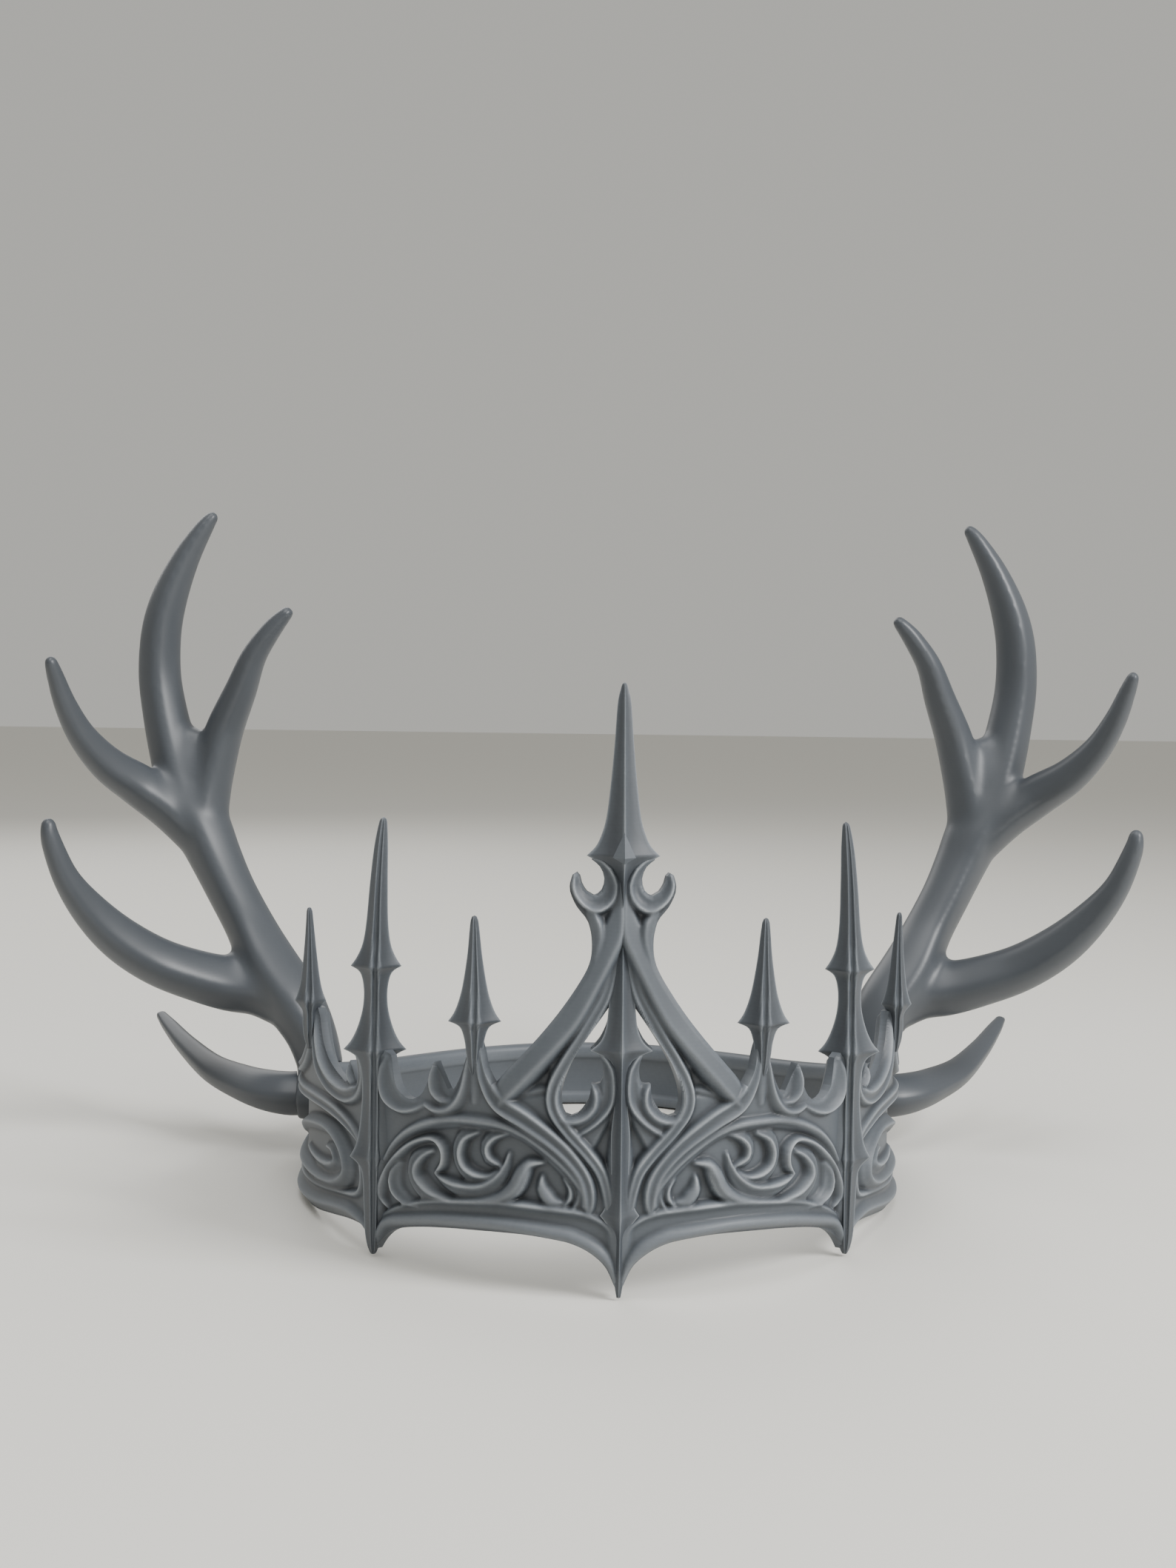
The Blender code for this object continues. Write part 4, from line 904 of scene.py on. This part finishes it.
def tube(name, along, around, place):
    """A closed skin from a grid: place gives each point and its painted shading tone from its shares of
    length and turn.
    """
    bm = bmesh.new()
    bmesh.ops.create_grid(bm, x_segments=along, y_segments=around, size=1.0)
    crest = bm.verts.layers.float.new("crest")
    for vert in bm.verts:
        vert.co, vert[crest] = place((vert.co.x + 1.0) / 2.0, (vert.co.y + 1.0) / 2.0)
    bmesh.ops.remove_doubles(bm, verts=bm.verts, dist=TINY)
    rims = [edge for edge in bm.edges if edge.is_boundary]
    bmesh.ops.holes_fill(bm, edges=rims, sides=0)
    bmesh.ops.recalc_face_normals(bm, faces=bm.faces)
    mesh = mesh_of(name, bm)
    mesh.shade_smooth()
    return mesh


def paint_shading_on(mesh, values):
    """Gives each point of the mesh its painted shading tone, which the finish reads."""
    crest = mesh.attributes.new("crest", "FLOAT", "POINT")
    crest.data.foreach_set("value", np.asarray(values, np.float32))


def star_depth(share):
    """How deep a star's hollow flank is, from 1 at its front ridge to 0 at its side ridge."""
    return max(0.0, 1.0 - share ** STAR_POWER) ** (1.0 / STAR_POWER)


def spire_mesh(name, side, s, depth, curl_in, curl_back, rows, flute):
    """A star-shaped column with hollow flanks, and a flute down its front ridge. Its tone is painted
    shading: painted highlights on its ridges and edges, painted shade in its valleys.
    """
    steps = cornered_line(rows, SPIRE_STEP)
    top = rows[-1][0]
    place = on_ring(side * s, steps[:, 0], depth) / MM
    curl = (steps[:, 0] / top) ** TIP_CURL
    behind = np.where(steps[:, 0] > SPIRE_FREE, steps[:, 2], np.minimum(steps[:, 2], depth - SPIRE_BACK))

    def at(along, around):
        k = round(along * (len(steps) - 1))
        turn = 2.0 * math.pi * around
        half_width = max(steps[k, 1], 0.0)
        across = math.copysign(abs(math.cos(turn)) ** (2.0 / STAR_POWER), math.cos(turn))
        away = star_depth(abs(across)) * math.copysign(1.0, math.sin(turn))
        edge = min(flute, FLUTE_SHARE * half_width) / max(half_width, TINY)
        if away < 0.0 and flute:
            inner = min(1.0, abs(across) / edge) if edge else 1.0
            away = -min(1.0, -away / star_depth(edge)) * (1.0 - FLUTE_HOLLOW * (1.0 - inner * inner))
        x = place[k][0] - side * curl_in * curl[k] + across * half_width
        y = place[k][1] + curl_back * curl[k] + away * max(behind[k] if away > 0.0 else steps[k, 2], 0.0)
        share = abs(across)
        # Painted highlight along the ridges and the side edges, painted shade in the valleys and on the
        # flanks
        ridge_highlight = max(1.0 - abs(share - edge) / RIDGE_SPREAD, 1.0 - (1.0 - share) / EDGE_SPREAD, 0.0)
        tone = VALLEY_SHADE + (FLANK_SHADE - VALLEY_SHADE) * 2.0 * abs(share - VALLEY_PLACE)
        return Vector((x, y, place[k][2])) * MM, tone + (RIDGE_HIGHLIGHT - tone) * ridge_highlight

    return tube(name, len(steps) - 1, SPIRE_AROUND, at)


def spires(material):
    """Three spires on each half, and the blade and the spire in the middle."""
    for name, (s, depth, curl_in, curl_back, rows) in SPIRES.items():
        for word, side in SIDES:
            mesh = spire_mesh(f"{name}_{word}", side, s, depth, curl_in, curl_back, rows, FLUTE_HALF_WIDTH)
            shown(f"{name}_{word}", mesh, material, "cast_grey")
    for name, rows in MIDDLE_COLUMNS.items():
        shown(name, spire_mesh(name, 1, 0.0, MIDDLE_DEPTH, 0.0, 0.0, rows, 0.0), material, "cast_grey")


def barb_facet(material):
    """The raised facet in front of the middle spire's barb."""
    bm = bmesh.new()
    for s, z, depth in FACET:
        bm.verts.new(on_ring(s, z, depth))
    bmesh.ops.convex_hull(bm, input=bm.verts)
    bmesh.ops.recalc_face_normals(bm, faces=bm.faces)
    mesh = mesh_of("barb_facet", bm)
    # A painted highlight on the facet
    paint_shading_on(mesh, [MIDDLE_TONE + BEAD_LIGHT_AND_SHADE] * len(mesh.vertices))
    shown("barb_facet", mesh, material, "cast_grey")


def band_height(s):
    """The height of the band's top, lowest at the back of the head."""
    forward = (RING_HALF_LENGTH - abs(s)) / (RING_HALF_LENGTH - FRONT_END)
    return BAND_BACK_HEIGHT + BAND_RISE * forward ** BAND_RISE_POWER


def band_profile(top):
    """The band's section, from the foot up the outer face and down the inner one. Columns: depth, height"""
    outer = ((-4.6, 0.0), (-2.6, 0.0), (-0.9, 0.05), (-0.3, 0.35), (0.0, 1.0), (0.0, 2.6), (-0.2, 3.3),
             (-0.8, 3.9), (-1.2, 4.6), (-1.2, top - 5.8), (-0.8, top - 5.0), (-0.2, top - 4.4),
             (0.0, top - 3.6), (0.0, top - 1.6), (-0.4, top - 0.6), (-1.3, top))
    inner = ((-2.8, top), (-4.1, top), (-5.0, top - 0.6), (-5.4, top - 1.6), (-5.4, top - 3.8),
             (-5.2, top - 4.6), (-4.6, top - 5.2), (-4.2, top - 5.9), (-4.2, 4.6), (-4.6, 3.9),
             (-5.2, 3.3), (-5.4, 2.6), (-5.4, 1.0), (-5.1, 0.3), (-4.6, 0.0))
    return outer + inner


def back_band(material):
    """The plain band behind the head, with a round bead along its top and its foot."""
    half = RING_HALF_LENGTH - FRONT_END - PIECE_GAP
    count = round(2 * half / BAND_STEP)
    around = len(band_profile(BAND_BACK_HEIGHT)) - 1

    def at(along, turn):
        s = FRONT_END + PIECE_GAP + 2.0 * half * along
        s = s if s <= RING_HALF_LENGTH else s - 2.0 * RING_HALF_LENGTH
        depth, z = band_profile(band_height(s))[round(turn * around)]
        # Painted highlight on the beads and painted shade on the faces between them
        on_bead = depth > BEAD_FRONT or depth < BEAD_BACK
        return Vector(on_ring(s, z, depth)), MIDDLE_TONE + (BEAD_LIGHT_AND_SHADE if on_bead else -BEAD_LIGHT_AND_SHADE)

    mesh = tube("band_behind", count, around, at)
    shown("band_behind", mesh, material, "cast_grey", "back_band")
    mesh.set_sharp_from_angle(angle=math.radians(SHARP_ANGLE))


def limb(name, rows, side, step, around, blunt):
    """A tine or beam along a smooth line, a little keeled at its front, with a round tip if it is blunt."""
    line = smooth_line(rows, step)
    tip = line[-1]
    ahead = np.array(Vector(tip[:3] - line[-2][:3]).normalized())
    turns = [0.5 * math.pi * (k + 1) / TIP_STEPS for k in range(TIP_STEPS if blunt else 0)]
    cap = [[*(tip[:3] + ahead * tip[3] * math.sin(turn)), tip[3] * math.cos(turn)] for turn in turns]
    line = np.vstack([line, *cap])

    def at(along, turn):
        k = round(along * (len(line) - 1))
        here = line[k]
        last = len(line) - 1 - len(cap)
        toward = Vector(line[min(k + 1, last)][:3] - line[max(min(k, last) - 1, 0)][:3]).normalized()
        front = Vector((0.0, -1.0, 0.0))
        front = (front - toward * front.dot(toward)).normalized()
        across = toward.cross(front)
        angle = 2.0 * math.pi * turn
        keel = 1.0 + KEEL * max(0.0, math.cos(angle)) ** KEEL_SHARPNESS
        spot = Vector(here[:3]) + (front * math.cos(angle) * keel + across * math.sin(angle)) * here[3]
        return in_ring_frame(side * spot.x, spot.y, spot.z), MIDDLE_TONE

    return tube(name, len(line) - 1, around, at)


def soften_forks(mesh):
    """Fills the hollows between the tines a little at a time, like grown horn, and evens out the rest."""
    points = positions(mesh)
    edges = np.zeros(len(mesh.edges) * 2, np.int32)
    mesh.edges.foreach_get("vertices", edges)
    a, b = edges.reshape(-1, 2).T
    ends, others = np.concatenate([a, b]), np.concatenate([b, a])
    count = np.bincount(ends, minlength=len(points))[:, None]
    normals = np.zeros(len(points) * 3, np.float32)
    for k in range(FORK_ROUNDS):
        if k % NORMALS_EVERY == 0:
            put_positions(mesh, points)
            mesh.vertices.foreach_get("normal", normals)
        sums = [np.bincount(ends, points[others, axis], len(points)) for axis in range(3)]
        lift = np.stack(sums, axis=1) / count - points
        hollow = (lift * normals.reshape(-1, 3)).sum(axis=1) > 0.0
        points = points + lift * np.where(hollow, HOLLOW_PULL, RIDGE_PULL)[:, None]
    put_positions(mesh, points)


def ring_seat(side):
    """A solid that fills the ring and the gap round it, to cut an antler's seat."""

    def at(along, turn):
        s = SEAT_START + (SEAT_END - SEAT_START) * along
        top = band_height(max(s, FRONT_END)) + PIECE_GAP
        face = RING_FACE + PIECE_GAP
        corners = ((SEAT_INNER, SEAT_FOOT), (face, SEAT_FOOT), (face, top), (SEAT_INNER, top))
        depth, z = corners[round(turn * 4) % 4]
        return Vector(on_ring(side * s, z, depth)), MIDDLE_TONE

    return tube("ring_seat", SEAT_STEPS, 4, at)


def baked(body, kind, **settings):
    """The object's mesh after one modifier."""
    modifier = body.modifiers.new("step", kind)
    for key, value in settings.items():
        setattr(modifier, key, value)
    graph = bpy.context.evaluated_depsgraph_get()
    mesh = bpy.data.meshes.new_from_object(body.evaluated_get(graph))
    body.modifiers.clear()
    return mesh


def antler(word, side, material):
    """Beam and tines grown into one body, with soft webs in the forks, cut clear of the ring."""
    bm = bmesh.new()
    for rows in (ANTLER_BEAM, INNER_TINE, FORK_WEB, OUTER_TINE_HIGH, OUTER_TINE_LOW, BROW_ROOT):
        part = limb("tine", rows, side, ANTLER_STEP, ANTLER_AROUND, rows is not BROW_ROOT)
        bm.from_mesh(part)
        bpy.data.meshes.remove(part)
    body = linked("antler_body", mesh_of("antler_body", bm))
    body.data = baked(body, "REMESH", mode="VOXEL", voxel_size=ANTLER_VOXEL * MM)
    soften_forks(body.data)
    seat = linked("ring_seat", ring_seat(side))
    horn = baked(body, "BOOLEAN", operation="DIFFERENCE", object=seat, solver="EXACT")
    for done in (body, seat):
        bpy.data.objects.remove(done, do_unlink=True)
    horn.name = f"horn_{word}"
    horn.shade_smooth()
    shown(f"horn_{word}", horn, material, "antler_grey", f"antler_{word}")
    horn.set_sharp_from_angle(angle=math.radians(SHARP_ANGLE))


def brow_tine(word, side, material):
    """The low tine behind the antler's base, from the antler's seam to its tip."""
    mesh = limb(f"brow_{word}", BROW_TINE, side, BROW_STEP, BROW_AROUND, True)
    shown(f"brow_{word}", mesh, material, "antler_grey", f"brow_tine_{word}")
    mesh.set_sharp_from_angle(angle=math.radians(BROW_SHARP_ANGLE))


def studio():
    """Plain pale floor, soft light and the camera at the photo's angle."""
    floor_finish = Finish("pale_floor", FLOOR_ROUGHNESS)
    floor_finish.set("Base Color", FLOOR_COLOUR)
    bm = bmesh.new()
    bmesh.ops.create_grid(bm, x_segments=1, y_segments=1, size=FLOOR_HALF_SIZE)
    floor = linked("floor", mesh_of("floor", bm))
    floor.data.materials.append(floor_finish.material)
    floor.location.z = -FLOOR_DROP

    world = bpy.data.worlds.new("studio")
    world.use_nodes = True
    sky = world.node_tree.nodes["Background"]
    sky.inputs["Color"].default_value = WORLD_COLOUR
    sky.inputs["Strength"].default_value = WORLD_STRENGTH
    bpy.context.scene.world = world

    for name, (place, aim, size, power) in LAMPS.items():
        light = bpy.data.lights.new(name, "AREA")
        light.energy = power
        light.size = size
        lamp = linked(name, light)
        lamp.location = place
        lamp.rotation_euler = (Vector(aim) - Vector(place)).to_track_quat("-Z", "Y").to_euler()

    lens = bpy.data.cameras.new("camera")
    lens.lens = LENS
    lens.sensor_width = SENSOR_WIDTH
    lens.clip_start = CLIP_START
    camera = linked("camera", lens)
    camera.location = in_ring_frame(*CAMERA_PLACE)
    turn = Euler((0.0, 0.0, math.radians(-CAMERA_ROLL))).to_matrix()
    aim = Euler((math.radians(90.0 + CAMERA_TILT), 0.0, math.radians(-CAMERA_PAN)), "XYZ").to_matrix()
    camera.rotation_euler = (aim @ turn).to_euler()
    bpy.context.scene.camera = camera


def main():
    cast = printed_plastic("cast_grey", CAST_ROUGHNESS, True)
    horn = printed_plastic("antler_grey", HORN_ROUGHNESS, False)
    carved_walls(Relief(), cast)
    spires(cast)
    barb_facet(cast)
    back_band(cast)
    for word, side in SIDES:
        antler(word, side, horn)
        brow_tine(word, side, horn)
    studio()


main()
